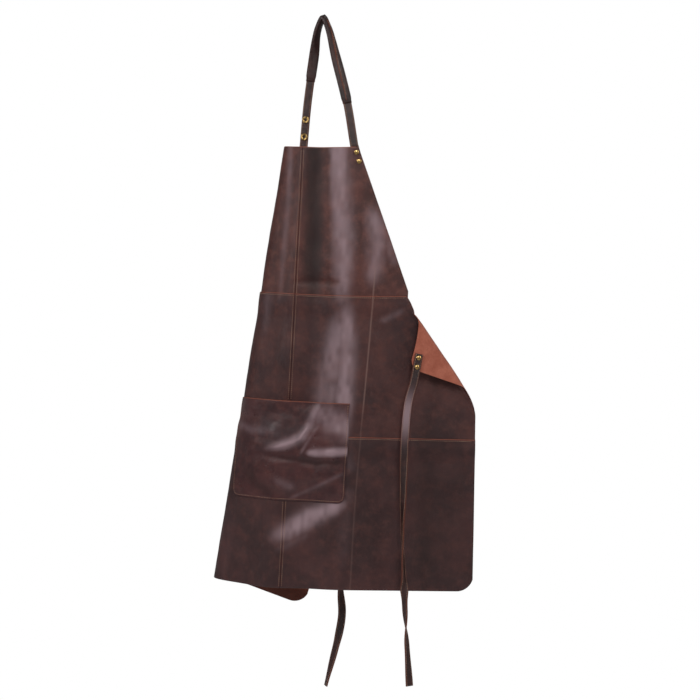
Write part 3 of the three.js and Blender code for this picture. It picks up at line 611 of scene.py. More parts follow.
def brass(name):
    """Antique brass: bright where it is rubbed, brown in its hollows."""
    n = Nodes(name)
    at = n.solid()
    tarnish = n.ramp(n.noise(at, 260, 4, 0.6), 0.45, 0.75)
    colour = n.blend(n.times(tarnish, 0.45), *map(linear, BRASS_TONES))
    colour = n.blend(n.times(n.attribute("hollow"), 0.9), colour, linear(HOLLOW_TONE))
    rough = n.ramp(n.noise(at, 600, 3), 0.3, 0.7, 0.2, 0.34)
    return n.finish(colour, rough, n.bump(n.noise(at, 900, 3), 0.0001, 0.4), Metallic=1.0)


def floor_paint(name):
    n = Nodes(name)
    grain = n.noise(n.solid(), 8, 3)
    colour = n.blend(grain, *map(linear, FLOOR_TONES))
    return n.finish(colour, n.ramp(grain, 0, 1, 0.85, 0.95), n.bump(grain, 0.0005, 0.1))


BIB_LEATHER = grain_leather("bib_leather", "402321", "56312d", "70433a", 0.36)
MIDDLE_LEATHER = grain_leather("middle_leather", "382122", "4c2d2b", "5e3731", 0.38)
LOWER_LEATHER = grain_leather("lower_leather", "341f20", "442828", "55322e", 0.42)
POCKET_LEATHER = grain_leather("pocket_leather", "341d20", "4c2c2d", "5e3835", 0.33)
STRAP_GRAIN = grain_leather("strap_grain", "241515", "371f1d", "4c2c27", 0.34)
SUEDE = suede("suede")
RAW = raw_edge("raw_edge", "6b3a2b", "8f503d")
STRAP_RAW = raw_edge("strap_raw_edge", "4a281f", "67392d")
THREAD = thread("brown_thread", "94674f", "c0957a")
# Near-black discs of painted shade that stand for the shade inside each needle hole.
NEEDLE_HOLE_SHADE = thread("needle_hole_shade", "1c100d", "261612")
BRASS = brass("antique_brass")


# ---- meshes ----
def mesh_object(name, points, faces, materials, kinds=None, attributes=None, uvs=None):
    """A smooth mesh from points in millimetres; kinds says which material each face has."""
    mesh = bpy.data.meshes.new(name)
    mesh.from_pydata((np.asarray(points) * MM).tolist(), [], [list(map(int, f)) for f in faces])
    for material in materials:
        mesh.materials.append(material)
    kinds = [0] * len(faces) if kinds is None else kinds
    mesh.polygons.foreach_set("material_index", np.asarray(kinds, np.int32))
    mesh.polygons.foreach_set("use_smooth", np.ones(len(faces), bool))
    for key, values in (attributes or {}).items():
        layer = mesh.attributes.new(key, "FLOAT", "POINT")
        layer.data.foreach_set("value", np.asarray(values, np.float32))
    if uvs is not None:
        loops = np.zeros(len(mesh.loops), np.int32)
        mesh.loops.foreach_get("vertex_index", loops)
        layer = mesh.uv_layers.new(name="pattern")
        layer.data.foreach_set("uv", (np.asarray(uvs, np.float32)[loops] * MM).ravel())
    mesh.validate()
    mesh.update()
    obj = bpy.data.objects.new(name, mesh)
    bpy.context.scene.collection.objects.link(obj)
    return obj


def outward(points, faces):
    """The faces, all turned over if that makes the closed mesh's normals point out."""
    p = np.asarray(points)
    fans = np.array([(f[0], f[i], f[i + 1]) for f in faces for i in range(1, len(f) - 1)])
    volume = np.einsum("ij,ij->", p[fans[:, 0]], np.cross(p[fans[:, 1]], p[fans[:, 2]]))
    return faces if volume > 0 else [tuple(reversed(f)) for f in faces]


def band(first, sides):
    """The quads from the ring of points that starts at number first to the next ring."""
    turns = [(i, (i + 1) % sides) for i in range(sides)]
    return [(first + i, first + j, first + j + sides, first + i + sides) for i, j in turns]


def tube(count, sides, first=0):
    """The quads and both end faces of a tube of count rings, numbered from first."""
    last = first + (count - 1) * sides
    faces = [quad for start in range(first, last, sides) for quad in band(start, sides)]
    return faces + [tuple(reversed(range(first, first + sides))), tuple(range(last, last + sides))]


def ticks(length, near=RIM_NEAR, far=RIM_NEAR, step=GRID):
    """Places from 0 to 1 along a length, with extra ones close to its ends."""
    first, last = max(near), length - max(far)
    count = max(2, round((last - first) / step))
    middle = np.linspace(first, last, count + 1)
    values = [0.0, *near[:-1], *middle, *sorted(length - f for f in far[:-1]), length]
    return np.unique(np.round(np.array(values) / length, 9))


CREASE_NEAR = (0.7, 1.5, 2.6)
CREASE_CLEAR = 20
SETTLING_ROUNDS = 12
ARC_STEPS, ARC_CLEAR, POCKET_ARC_STEPS = 14, 0.004, 10


def across_ticks(side, width):
    """Columns, crowding in on the crease of the right side; also where the crease is among them."""
    if side < 0:
        return ticks(width), None
    line = float(fold_crease(MID_LENGTH))
    rest = width - line
    inner, outer = ticks(line, far=CREASE_NEAR) * line, line + ticks(rest, near=CREASE_NEAR) * rest
    return np.unique(np.concatenate([inner, outer])) / width, line / width


def pattern_grid(word, width, length, edge, top, foot, arc=()):
    """Pattern points in columns from the centre seam to the side edge; arc replaces the last columns."""
    columns, crease_at = across_ticks(SIDES[word], width)
    if len(arc):
        columns = np.unique(np.concatenate([columns[columns < arc[0] - ARC_CLEAR], arc]))
    u, v = columns[:, None], ticks(length)[None, :]

    def across(b):
        if crease_at is None:
            return u * edge(b)
        line = np.minimum(fold_crease(b), edge(b) - CREASE_CLEAR)
        outer = mix(line, edge(b), (u - crease_at) / (1 - crease_at))
        return np.where(u <= crease_at, u / crease_at * line, outer)

    b = u * v * 0 + MID_LENGTH
    for _ in range(SETTLING_ROUNDS):
        a = across(b)
        b = mix(top(a[:, :1]), foot(a[:, -1:]), v)
    return SIDES[word] * np.maximum(across(b), CENTRE_GAP / 2), b


RIM_DROP, FLESH_RIM = CHAMFER * 0.8, 0.15
TOP_WORN, CREASE_SIGHT = 0.45, 2.2
GRAIN_FACE, FLESH_FACE, CUT_FACE = 0, 1, 2


def sheet_mesh(name, a, b, lift, grain, strokes=HIGHLIGHT_SHADE_STROKES):
    """A leather panel with chamfered cut edges: grain outside, suede inside, fibres between."""
    columns, rows = a.shape
    rim = np.zeros((columns, rows), bool)
    rim[0], rim[-1], rim[:, 0], rim[:, -1] = True, True, True, True
    base = lift(a, b) + relief(a, b)
    outer = place(a, b, base + LEATHER - RIM_DROP * rim)
    inner = place(a, b, base + FLESH_RIM * rim)
    points = np.concatenate([outer.reshape(-1, 3), inner.reshape(-1, 3)])
    count = columns * rows
    number = np.arange(count).reshape(columns, rows)
    faces, kinds = [], []
    for i in range(columns - 1):
        for j in range(rows - 1):
            quad = (number[i, j], number[i + 1, j], number[i + 1, j + 1], number[i, j + 1])
            faces += [quad, tuple(q + count for q in reversed(quad))]
            kinds += [CUT_FACE if j == 0 else GRAIN_FACE, FLESH_FACE]
    border = [*number[:, 0], *number[-1, 1:], *number[-2::-1, -1], *number[0, -2:0:-1]]
    for p, q in zip(border, border[1:] + border[:1]):
        faces.append((q, p, p + count, q + count))
        kinds.append(CUT_FACE)
    worn = TOP_WORN * (1 - smooth((b - b[:, :1]) / CUT_SIGHT))
    # The crease line's tone, partly pale creased leather and partly painted highlight.
    crease = crease_strength(b) * np.clip(1 - np.abs(a - fold_crease(b)) / CREASE_SIGHT, 0, 1)
    # Painted shadow on the flesh side at the hem's left corner; the grain side carries painted highlight and
    # shade.
    painted_shadow = PAINTED_SHADOW_STRENGTH * eased(b, *PAINTED_SHADOW_FOOT) * eased(-a, *PAINTED_SHADOW_SIDE)
    layers = {"worn": (worn, worn), "crease": (crease, crease), "pale": (painted_highlight_and_shade(a, b, strokes), painted_shadow)}
    attributes = {key: np.concatenate([face.ravel() for face in both]) for key, both in layers.items()}
    uv = np.stack([a.ravel(), b.ravel()], axis=1)
    return mesh_object(name, points, outward(points, faces), [grain, SUEDE, RAW], kinds, attributes,
                       np.concatenate([uv, uv]))


# ---- leather panels ----
def body_panel(word, name, leather, grid, lift):
    piece = sheet_mesh(f"{name}_leather_{word}", *grid, lift, leather)
    return piece, f"{name}_panel_{word}"


def bib_panel(word):
    grid = pattern_grid(word, WAIST[0], WAIST[1] + LAP, bib_edge, bib_top, bib_foot)
    return body_panel(word, "bib", BIB_LEATHER, grid, lambda a, b: a * 0)


def middle_panel(word):
    length = HIP_SEAM - WAIST[1] + LAP
    grid = pattern_grid(word, HALF_WIDTH, length, side_edge, middle_top, lambda a: hip_seam(a) + LAP)
    lift = lambda a, b: lap_lift(b - waist_seam(a))
    return body_panel(word, "middle", MIDDLE_LEATHER, grid, lift)


def lower_panel(word):
    arc = 1 - HEM_RADIUS / HEM_HALF_WIDTH * (1 - np.sin(np.linspace(0, math.pi / 2, ARC_STEPS)))
    grid = pattern_grid(word, HEM_HALF_WIDTH, LENGTH - HIP_SEAM, side_edge, hip_seam, hem, arc)
    lift = lambda a, b: lap_lift(b - hip_seam(a))
    return body_panel(word, "lower", LOWER_LEATHER, grid, lift)


def pocket_panel():
    straight = POCKET_HALF - POCKET_RADIUS
    corner = straight + POCKET_RADIUS * np.sin(np.linspace(0, math.pi / 2, POCKET_ARC_STEPS))
    inner = np.linspace(-straight, straight, round(2 * straight / POCKET_GRID))
    across = np.concatenate([-corner[:0:-1], inner, corner[1:]])
    down = ticks(POCKET_BOTTOM - POCKET_TOP, step=POCKET_GRID)
    a = np.repeat(across[:, None], len(down), axis=1)
    b = mix(POCKET_TOP, pocket_foot(a), down[None, :])
    piece = sheet_mesh("pocket_leather", a, b, pocket_lift, POCKET_LEATHER, POCKET_HIGHLIGHT_SHADE_STROKES)
    return piece, "front_pocket"


def panels():
    made = [build(word) for build in (bib_panel, middle_panel, lower_panel) for word in SIDES]
    for piece, node in made + [pocket_panel()]:
        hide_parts(node)
        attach(piece, "apron")


# ---- stitching ----
SEAM_START, WAIST_END, HIP_END = 2, 10, 5
TOP_CLEAR, BEFORE_SEAM, PAST_SEAM, SEAM_CLEAR = 4, 1, 2, 3
WAIST_STEPS, HIP_STEPS, CENTRE_STEPS, SIDE_STEPS, FOOT_STEPS = 120, 160, 120, 60, 80
ABOVE_STRAP, SEWN_LEVEL = 0.08, 0.5


def add_tube(store, rings):
    points, faces = store
    faces += tube(len(rings), len(rings[0]), len(points))
    for each in rings:
        points.extend(each)


def bead(start, end, normal):
    """The rings of one stitch: a short arched thread, standing a little off the leather."""
    across = np.cross(normal, unit(end - start))
    rings = []
    for t, size in THREAD_SWELL:
        rise = THREAD_ARCH * 4 * t * (1 - t) - THREAD_RADIUS * THREAD_SUNK
        centre = mix(start, end, t) + normal * rise
        rings.append(ring(centre, THREAD_RADIUS * size, across, normal, THREAD_SIDES))
    return rings


# A small near-black disc of painted shade at a needle hole.
def hole_shade_disc(at, normal):
    across = unit(np.cross(normal, [0.3, 0.2, 1.0]))
    along = np.cross(normal, across)
    return [ring(at + normal * height, HOLE_RADIUS * size, across, along, HOLE_SIDES)
            for height, size in HOLE_RINGS]


def carry(piece, body):
    """The piece rides on its body; given a blend instead, it only has its transform baked into its mesh."""
    if isinstance(body, str):
        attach(piece, body)
    else:
        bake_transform(piece)


class Sewing:
    """Collects stitches and the dark discs of painted shade in their needle holes, then makes one object of
    each.
    """

    def __init__(self, name, body, slot):
        self.name, self.body, self.slot = name, body, slot
        self.threads, self.hole_shade = ([], []), ([], [])

    def row(self, points, normals, pitch):
        """Straight stitches along a line, with a disc of painted shade in the needle hole between each two.
        """
        length = distances(points)
        count = max(1, int(length[-1] // pitch))
        for middle in (np.arange(count) + 0.5) * length[-1] / count:
            half = STITCH_SHARE * pitch / 2
            start, end = (read_off(middle + way, length, points) for way in (-half, half))
            facing = unit(read_off(middle, length, normals))
            add_tube(self.threads, bead(start, end, facing))
            add_tube(self.hole_shade, hole_shade_disc(read_off(middle - pitch / 2, length, points), facing))

    def finish(self):
        for kind, store, material in (("stitches", self.threads, THREAD), ("hole_shade", self.hole_shade, NEEDLE_HOLE_SHADE)):
            piece = mesh_object(f"{self.name}_{kind}", *store, [material])
            carry(piece, self.body)


def seam_row(sewing, a, b, height, pitch, side=1):
    """Sews along pattern lines at the height that a function gives; side -1 is the flesh side."""
    level = height(a, b) + relief(a, b)
    points = place(a, b, level)
    normals = unit(place(a, b, level + SEWN_LEVEL) - points)
    sewing.row(points, side * normals, pitch)


def seam_stitching():
    sewing = Sewing("seam", "apron", "leather")
    for side in SIDES.values():
        for seam, reach, count in ((waist_seam, WAIST[0] - WAIST_END, WAIST_STEPS),
                                   (hip_seam, HALF_WIDTH - HIP_END, HIP_STEPS)):
            a = side * np.linspace(SEAM_START, reach, count)
            b = seam(a) + SEAM_ROW
            seam_row(sewing, a, b, lambda a, b: LAP_LIFT + LEATHER + a * 0, SEAM_PITCH)
            seam_row(sewing, a, b, lambda a, b: a * 0, SEAM_PITCH, -1)
    sewing.finish()


def centre_stitching():
    """The centre seam is sewn with a row of stitches on each side, panel by panel."""
    sewing = Sewing("centre_seam", "apron", "leather")
    waist = waist_seam(0)
    stretches = [
        (TOP_CLEAR, waist - BEFORE_SEAM, lambda a, b: LEATHER + a * 0),
        (waist + PAST_SEAM, POCKET_TOP - PAST_SEAM, lambda a, b: lap_lift(b - waist_seam(a)) + LEATHER),
        (POCKET_BOTTOM + PAST_SEAM, LENGTH - SEAM_CLEAR, lambda a, b: lap_lift(b - hip_seam(a)) + LEATHER),
    ]
    for start, end, height in stretches:
        for side in SIDES.values():
            b = np.linspace(start, end, CENTRE_STEPS)
            seam_row(sewing, side * CENTRE_ROW + b * 0, b, height, SEAM_PITCH)
    sewing.finish()


def pocket_stitching():
    sewing = Sewing("pocket", "apron", "leather")
    straight, radius = POCKET_HALF - POCKET_RADIUS, POCKET_RADIUS - POCKET_INSET
    turn = np.linspace(0, math.pi / 2, POCKET_ARC_STEPS)
    down = np.linspace(POCKET_TOP + SEAM_CLEAR, POCKET_BOTTOM - POCKET_RADIUS, SIDE_STEPS)
    corner_a = straight + radius * np.cos(turn)
    corner_b = POCKET_BOTTOM - POCKET_RADIUS + radius * np.sin(turn)
    foot = np.linspace(straight, -straight, FOOT_STEPS)
    side = down * 0 + POCKET_HALF - POCKET_INSET
    foot_b = foot[1:] * 0 + POCKET_BOTTOM - POCKET_INSET
    a = np.concatenate([side, corner_a[1:], foot[1:], -corner_a[-2::-1], -side])
    b = np.concatenate([down, corner_b[1:], foot_b, corner_b[-2::-1], down[::-1]])
    seam_row(sewing, a, b, lambda a, b: pocket_lift(a, b) + LEATHER, POCKET_PITCH)
    sewing.finish()


# ---- curves for the straps ----
CURVE_STEPS, NECK_STEPS, TIE_STEPS = 400, 200, 220


def catmull_rom(points, t):
    """A point on the centripetal Catmull-Rom curve through the points."""
    p = [np.asarray(q, float) for q in points]
    p = [2 * p[0] - p[1], *p, 2 * p[-1] - p[-2]]
    at = t * (len(points) - 1)
    i = min(int(at), len(points) - 2)
    w = at - i
    q0, q1, q2, q3 = p[i:i + 4]
    d0, d1, d2 = (max(np.linalg.norm(m - n) ** 0.5, 1e-4) for m, n in ((q0, q1), (q1, q2), (q2, q3)))
    s1 = ((q1 - q0) / d0 - (q2 - q0) / (d0 + d1) + (q2 - q1) / d1) * d1
    s2 = ((q2 - q1) / d1 - (q3 - q1) / (d1 + d2) + (q3 - q2) / d2) * d1
    return (q1 + s1 * w + (-3 * q1 + 3 * q2 - 2 * s1 - s2) * w ** 2
            + (2 * q1 - 2 * q2 + s1 + s2) * w ** 3)


def stations_along(points, widths, count):
    """Position, width direction and facing direction at even steps along a smooth curve."""
    fine = np.array([catmull_rom(points, t) for t in np.linspace(0, 1, CURVE_STEPS)])
    length = distances(fine)
    centre = read_off(np.linspace(0, length[-1], count + 1), length, fine)
    tangent = unit(np.gradient(centre, axis=0))
    key_place = np.linspace(0, len(widths) - 1, count + 1)
    key = np.minimum(key_place.astype(int), len(widths) - 2)
    keys = np.array(widths)
    across = mix(keys[key], keys[key + 1], smooth(key_place - key)[:, None])
    across = unit(across - tangent * np.sum(across * tangent, axis=1, keepdims=True))
    return centre, across, unit(np.cross(tangent, across))


def seat_stations(seat, steps, facing=None):
    """Straight stations on a seat, with the width direction towards +x."""
    centre = np.array([seat.along(d) for d in steps])
    facing = seat.normal if facing is None else facing
    return centre, np.tile(rightward(seat.across), (len(centre), 1)), np.tile(facing, (len(centre), 1))


STRAP_EDGE, STRAP_SHOULDER = 0.45, 2.4
EDGE_SINK, SHOULDER_RISE, CROWN_RISE = -0.02, 0.1, 0.16
EDGE_WORN, WORN_FROM, FACE_SPREAD = 0.2, (6.2, 1.2), 60
# Painted highlight along each tie: where it peaks, how far it reaches, and its strength.
TIE_HIGHLIGHT_AT, TIE_HIGHLIGHT_REACH, TIE_HIGHLIGHT_STRENGTH = 112, 48, 0.75
PAST_RIVET, PAST_SNAP, ABOVE_RIVET, JOIN = 9, 11, 7, 1
SEAT_STEPS = {"fixed": 16, "snapped": 30, "tie": 14}
SNAP_BEND, TIE_BEND, TIE_LEAD = (-1, 5), (-6, 10), 14


def strap_profile():
    """Points round a strap, across and through it, and which of its sides are cut edges."""
    w, t = STRAP_WIDTH / 2, STRAP_THICK / 2
    half = [(w - STRAP_SHOULDER, t + SHOULDER_RISE), (w - STRAP_EDGE, t + EDGE_SINK)]
    face = [*[(-x, y) for x, y in reversed(half)], (0, t + CROWN_RISE), *half]
    edge = [(w, t - STRAP_EDGE), (w, STRAP_EDGE - t)]
    back = [(-x, -y) for x, y in [*face, *edge]]
    cut = ([False] * 4 + [True] * 3) * 2
    return [*face, *edge, *back], cut


def strap_mesh(name, stations, highlight_at=None):
    centre, across, facing = stations
    profile, cut = strap_profile()
    points = np.array([c + x * w + y * f for c, w, f in zip(centre, across, facing) for x, y in profile])
    faces = tube(len(centre), len(profile))
    kinds = [int(c) for c in cut] * (len(centre) - 1) + [1, 1]
    length = distances(centre)
    uv = [(x + FACE_SPREAD * (y > 0), s) for s in length for x, y in profile]
    worn = [EDGE_WORN * float(eased(abs(x), *WORN_FROM)) for x, y in profile] * len(length)
    pale = 0 * length
    # A painted highlight along the strap, where one is asked for.
    if highlight_at is not None:
        pale = TIE_HIGHLIGHT_STRENGTH * np.exp(-((length - highlight_at) / TIE_HIGHLIGHT_REACH) ** 2)
    attributes = {"worn": worn, "crease": np.zeros(len(points)), "pale": np.repeat(pale, len(profile))}
    return mesh_object(name, points, outward(points, faces), [STRAP_GRAIN, STRAP_RAW], kinds, attributes, uv)


def strap_stitching(name, stations, bend):
    """Two rows of stitches on both faces of a strap."""
    centre, across, facing = stations
    sewing = Sewing(name, bend, "strap_leather")
    level = facing * (STRAP_THICK / 2 + ABOVE_STRAP)
    for side in (-1, 1):
        line = centre + across * side * (STRAP_WIDTH / 2 - STRAP_ROW)
        sewing.row(line + level, facing, STRAP_PITCH)
        sewing.row(line - level, -facing, STRAP_PITCH)
    sewing.finish()


def strap(name, stations, bend, nodes, highlight_at=None):
    piece = strap_mesh(f"{name}_leather", stations, highlight_at)
    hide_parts(*nodes)
    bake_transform(piece)
    strap_stitching(name, stations, bend)
    return piece


def joined(*parts):
    return tuple(np.concatenate([part[k] for part in parts]) for k in range(3))


def metres(point):
    return tuple(float(v) * MM for v in point)


# ---- neck strap ----
def loop_point(x, z):
    t = (x - BEND["fixed"][0]) / (BEND["snapped"][0] - BEND["fixed"][0])
    return np.array([x, mix(BEND["fixed"][1], BEND["snapped"][1], t), z])


def neck_stations():
    start, end = (SEATS[key].along(-EDGE_MARGIN - BEND_GAP) for key in ("fixed", "snapped"))
    loop = [*LOOP_RIGHT, (0, SLEEVE_THICK / 2), *LOOP_LEFT]
    points = [start, *[loop_point(x, z) for x, z in loop], end]
    hook = unit(np.cross(unit((BEND["snapped"] - BEND["fixed"]) * [1, 1, 0]), [0, 0, 1]))
    fixed, hook, snapped = (rightward(v) for v in (SEATS["fixed"].across, hook, SEATS["snapped"].across))
    return stations_along(points, [fixed, fixed, hook, snapped, snapped], NECK_STEPS)


NECK = neck_stations()
NECK_BLEND = ("neck_loop", "apron", (0, 0, -0.213), (0, 0, -0.235))


def neck_strap():
    inside_bib = np.linspace(RIVET_PITCH + PAST_RIVET, -EDGE_MARGIN + JOIN, SEAT_STEPS["fixed"])
    stations = joined(seat_stations(SEATS["fixed"], inside_bib, NECK[2][0]), NECK)
    strap("neck_strap", stations, NECK_BLEND, ["neck_strap", "neck_strap_fixed_end"])


def snap_end():
    seat = SEATS["snapped"]
    snapped = np.linspace(-EDGE_MARGIN - BEND_GAP, SNAP_PITCH + PAST_SNAP, SEAT_STEPS["snapped"])
    stations = seat_stations(seat, snapped)
    start, end = (metres(seat.along(-EDGE_MARGIN + past)) for past in SNAP_BEND)
    strap("snap_end", stations, ("apron", "snap_end", start, end), ["neck_strap_snap_end"])


# ---- padded sleeve ----
SLEEVE_SIDES, SLEEVE_SQUARE = 36, (0.62, 0.7)
SLEEVE_BORE, BORE_SQUARE = (0.96 * (STRAP_WIDTH + 2.4), STRAP_THICK + 1.2), (0.5, 0.5)
SEAM_AT, FLAP_RISE, FLAP_SUNK, FLAP_STEP, FLAP_TAPER = -1.2, 1.1, 0.5, 0.5, 5
APEX_PUFF, APEX_REACH = 3.4, 26
MOUTH_PINCH, MOUTH_LENGTH = 0.32, 11
PUFFS = [(0.03, 9, 0), (0.02, 4.3, 1)]
SLEEVE_FACE, FLAP_STITCH, SEWN = SLEEVE_THICK / 2 + 0.62, 2.0, slice(6, -6)
RAW_EDGE_AT, RAW_EDGE_SINK, RAW_EDGE_SIZE, RAW_EDGE_SIDES, EDGED = 0.1, 0.75, (0.55, 0.6), 6, slice(2, -2)


def squared(q, size, power):
    """A point at angle q on an oval of that size with its corners filled out."""
    turned_to = (math.cos(q), math.sin(q))
    return [math.copysign(abs(v) ** p, v) * s / 2 for v, s, p in zip(turned_to, size, power)]


def sleeve_point(q, s, length, centre, across, facing):
    """A point of the sleeve's outside at angle q and distance s along it."""
    pinch = 1 - MOUTH_PINCH * float(1 - smooth(min(s, length - s) / MOUTH_LENGTH))
    puff = 1 + sum(rise * math.sin(s / wave + start) for rise, wave, start in PUFFS)
    size = (SLEEVE_WIDTH * mix(1, pinch, 0.5), SLEEVE_THICK * pinch * puff)
    x, y = squared(q, size, SLEEVE_SQUARE)
    if y < 0:
        flap = float(eased(x, SEAM_AT, FLAP_STEP) * smooth((SLEEVE_WIDTH / 2 - x) / FLAP_TAPER))
        y -= (FLAP_RISE * flap - FLAP_SUNK) * pinch
    offset = across * x + facing * y
    over_hook = max(offset[2], 0) / SLEEVE_THICK * 2 * math.exp(-(centre[0] / APEX_REACH) ** 2)
    return centre + offset + np.array([0, 0, APEX_PUFF * over_hook])


def sleeve_faces(count):
    """Faces between count outer rings and as many bore rings, and which of them are raw leather."""
    sides, bore = SLEEVE_SIDES, count * SLEEVE_SIDES
    faces, kinds = [], []
    for start in range(0, bore - sides, sides):
        for p, q, after_q, after_p in band(start, sides):
            faces += [(p, q, after_q, after_p), (bore + q, bore + p, bore + after_p, bore + after_q)]
            kinds += [0, 1]
    last = bore - sides
    for i in range(sides):
        j = (i + 1) % sides
        faces += [(j, i, bore + i, bore + j), (last + i, last + j, bore + last + j, bore + last + i)]
        kinds += [1, 1]
    return faces, kinds


def sleeve():
    z = NECK[0][:, 2]
    first = int(np.argmax(z > SLEEVE_RIGHT))
    last = len(z) - 1 - int(np.argmax(z[::-1] > SLEEVE_LEFT))
    covered = [part[first:last + 1] for part in NECK]
    length = distances(covered[0])
    rings = [(q + math.pi / SLEEVE_SIDES, s, *way) for s, *way in zip(length, *covered)
             for q in circle(SLEEVE_SIDES)]
    points = [sleeve_point(q, s, length[-1], *way) for q, s, *way in rings]
    for q, _, centre, across, facing in rings:
        x, y = squared(q, SLEEVE_BORE, BORE_SQUARE)
        points.append(centre + across * x + facing * y)
    uv = [(SLEEVE_WIDTH * q / 2, s) for q, s, *_ in rings] + [(q, s) for q, s, *_ in rings]
    faces, kinds = sleeve_faces(len(length))
    zeros = np.zeros(len(points))
    piece = mesh_object("neck_sleeve", points, outward(points, faces), [STRAP_GRAIN, STRAP_RAW], kinds,
                        {"worn": zeros, "crease": zeros}, uv)
    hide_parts("neck_pad")
    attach(piece, "neck_loop")
    sleeve_sewing(*covered)


def sleeve_sewing(centre, across, facing):
    """The stitches and the raw edge of the flap that closes the sleeve."""
    sewing = Sewing("sleeve", "neck_loop", "strap_leather")
    line = centre + across * (SEAM_AT + FLAP_STITCH) - facing * SLEEVE_FACE
    sewing.row(line[SEWN], -facing[SEWN], SLEEVE_PITCH)
    sewing.finish()
    raw = centre + across * (SEAM_AT + RAW_EDGE_AT) - facing * (SLEEVE_FACE - RAW_EDGE_SINK)
    width, height = RAW_EDGE_SIZE
    rings = [ring(c, 1, w * width, f * height, RAW_EDGE_SIDES)
             for c, w, f in zip(raw[EDGED], across[EDGED], facing[EDGED])]
    points, faces = [], []
    add_tube((points, faces), rings)
    piece = mesh_object("sleeve_raw_edge", points, outward(points, faces), [RAW])
    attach(piece, "neck_loop")


# ---- ties: where each runs from its bend, and how its width turns on the way ----
TIE_ROUTES = {
    1: [(-13, 0, -52), (-19.5, -2, -117), (-22, -3, -200), (-23.5, -1, -290),
        (-20.5, 0, -390), (-18.5, 3, -442), (-11, 2, -567)],
    -1: [(-2, 4, -60), (-5, 5, -160), (-1, 2, -270), (6, -2, -388), (8, -3, -434), (-22, 0, -563)],
}
TIE_TURNS = {
    1: [0, -5, -15, -55, -90, -128, -252, -320, -345],
    -1: [0, 0, -10, -15, -20, -30, -80, -140, -170],
}


def tie_stations(side):
    seat, bend = SEATS[side], BEND[side]
    route = [bend + np.array(offset) for offset in TIE_ROUTES[side]]
    points = [bend + seat.down * BEND_GAP, bend + seat.down * TIE_LEAD, *route]
    up = np.array([0.0, 0.0, 1.0])
    widths = [spin(rightward(seat.across), up, math.radians(turn)) for turn in TIE_TURNS[side]]
    return stations_along(points, widths, TIE_STEPS)


def tie(word):
    side = SIDES[word]
    hanging = tie_stations(side)
    riveted = np.linspace(-ABOVE_RIVET, RIVET_PITCH + TIE_MARGIN[side] - JOIN, SEAT_STEPS["tie"])
    stations = joined(seat_stations(SEATS[side], riveted, hanging[2][0]), hanging)
    start, end = (metres(BEND[side] + SEATS[side].down * past) for past in TIE_BEND)
    bend = ("apron", f"{word}_tie", start, end)
    piece = strap(f"tie_{word}", stations, bend, [f"tie_{word}", f"tie_{word}_end"], TIE_HIGHLIGHT_AT)


# ---- brass fittings ----
TURNED_SIDES, DOME_STEPS = 32, 8
RIVET_PLAY, SNAP_PLAY = 0.3, 0.15


def turned(name, profile, origin, axis, body):
    """A turned fitting from (radius, height, hollow) points, pole to pole, with its axis outwards."""
    sides = TURNED_SIDES
    across = unit(np.cross(axis, [0.31, 0.17, 0.93]))
    along = np.cross(axis, across)
    points, hollow, starts, faces = [], [], [], []
    for radius, height, shade in profile:
        starts.append(len(points))
        points += ring(origin + axis * height, radius, across, along, sides if radius > 0 else 1)
        hollow += [shade] * (len(points) - len(hollow))
    for (lower, _, _), (upper, _, _), p, q in zip(profile, profile[1:], starts, starts[1:]):
        for i in range(sides):
            j = (i + 1) % sides
            if lower == 0:
                faces.append((p, q + j, q + i))
            elif upper == 0:
                faces.append((p + i, p + j, q))
            else:
                faces.append((p + i, p + j, q + j, q + i))
    piece = mesh_object(f"{name}_brass", points, outward(points, faces), [BRASS], None, {"hollow": hollow})
    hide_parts(name)
    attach(piece, body)


def rounded(radius, low, high, count):
    """A quarter ellipse from the rim up to the pole."""
    return [(radius * math.cos(q), mix(low, high, math.sin(q)), 0.0)
            for q in np.linspace(0, math.pi / 2, count + 1)[:-1]]


def rivet(name, origin, axis, grip):
    half = grip / 2
    profile = [
        (0, -half - RIVET_BACK, 0.2), (RIVET_HEAD * 0.5, -half - RIVET_BACK * 0.95, 0.1),
        (RIVET_HEAD - 0.8, -half - RIVET_BACK * 0.75, 0.0), (RIVET_HEAD, -half - 0.35, 0.0),
        (RIVET_HEAD - 0.2, -half, 0.6), (RIVET_POST, -half, 1.0), (RIVET_POST, half, 1.0),
        (RIVET_HEAD - 0.2, half, 0.7), (RIVET_HEAD, half + 0.3, 0.2),
        *rounded(RIVET_HEAD, half + 0.55, half + RIVET_RISE, DOME_STEPS), (0, half + RIVET_RISE, 0.0),
    ]
    turned(name, profile, origin, axis, "apron")


def snap_socket(name, origin, axis, body):
    half = STRAP_THICK / 2 + SNAP_PLAY
    top = half + SNAP_HEIGHT
    profile = [
        (0, -half - SNAP_CAP, 0.0), (SNAP_RING * 0.45, -half - SNAP_CAP * 0.95, 0.0),
        (SNAP_RING * 0.8, -half - SNAP_CAP * 0.65, 0.0), (SNAP_RING - 0.2, -half - 0.3, 0.0),
        (SNAP_RING - 0.5, -half, 0.7), (SNAP_NECK, -half, 1.0), (SNAP_NECK, half, 1.0),
        (SNAP_RING - 0.3, half, 0.8), (SNAP_RING, half + 0.4, 0.3), (SNAP_RING, top - 0.9, 0.0),
        (SNAP_RING - 0.5, top - 0.25, 0.0), (SNAP_RING - 1.3, top, 0.0),
        (SNAP_RING - 2.1, top - 0.2, 0.15), (SNAP_RING - 2.5, top - 0.7, 0.6),
        (SNAP_BORE + 0.9, top - 0.6, 0.4), (SNAP_BORE + 0.3, top - 0.5, 0.5),
        (SNAP_BORE, top - 0.9, 0.9), (SNAP_BORE, half - 1.6, 1.0), (0, half - 1.6, 1.0),
    ]
    turned(name, profile, origin, axis, body)


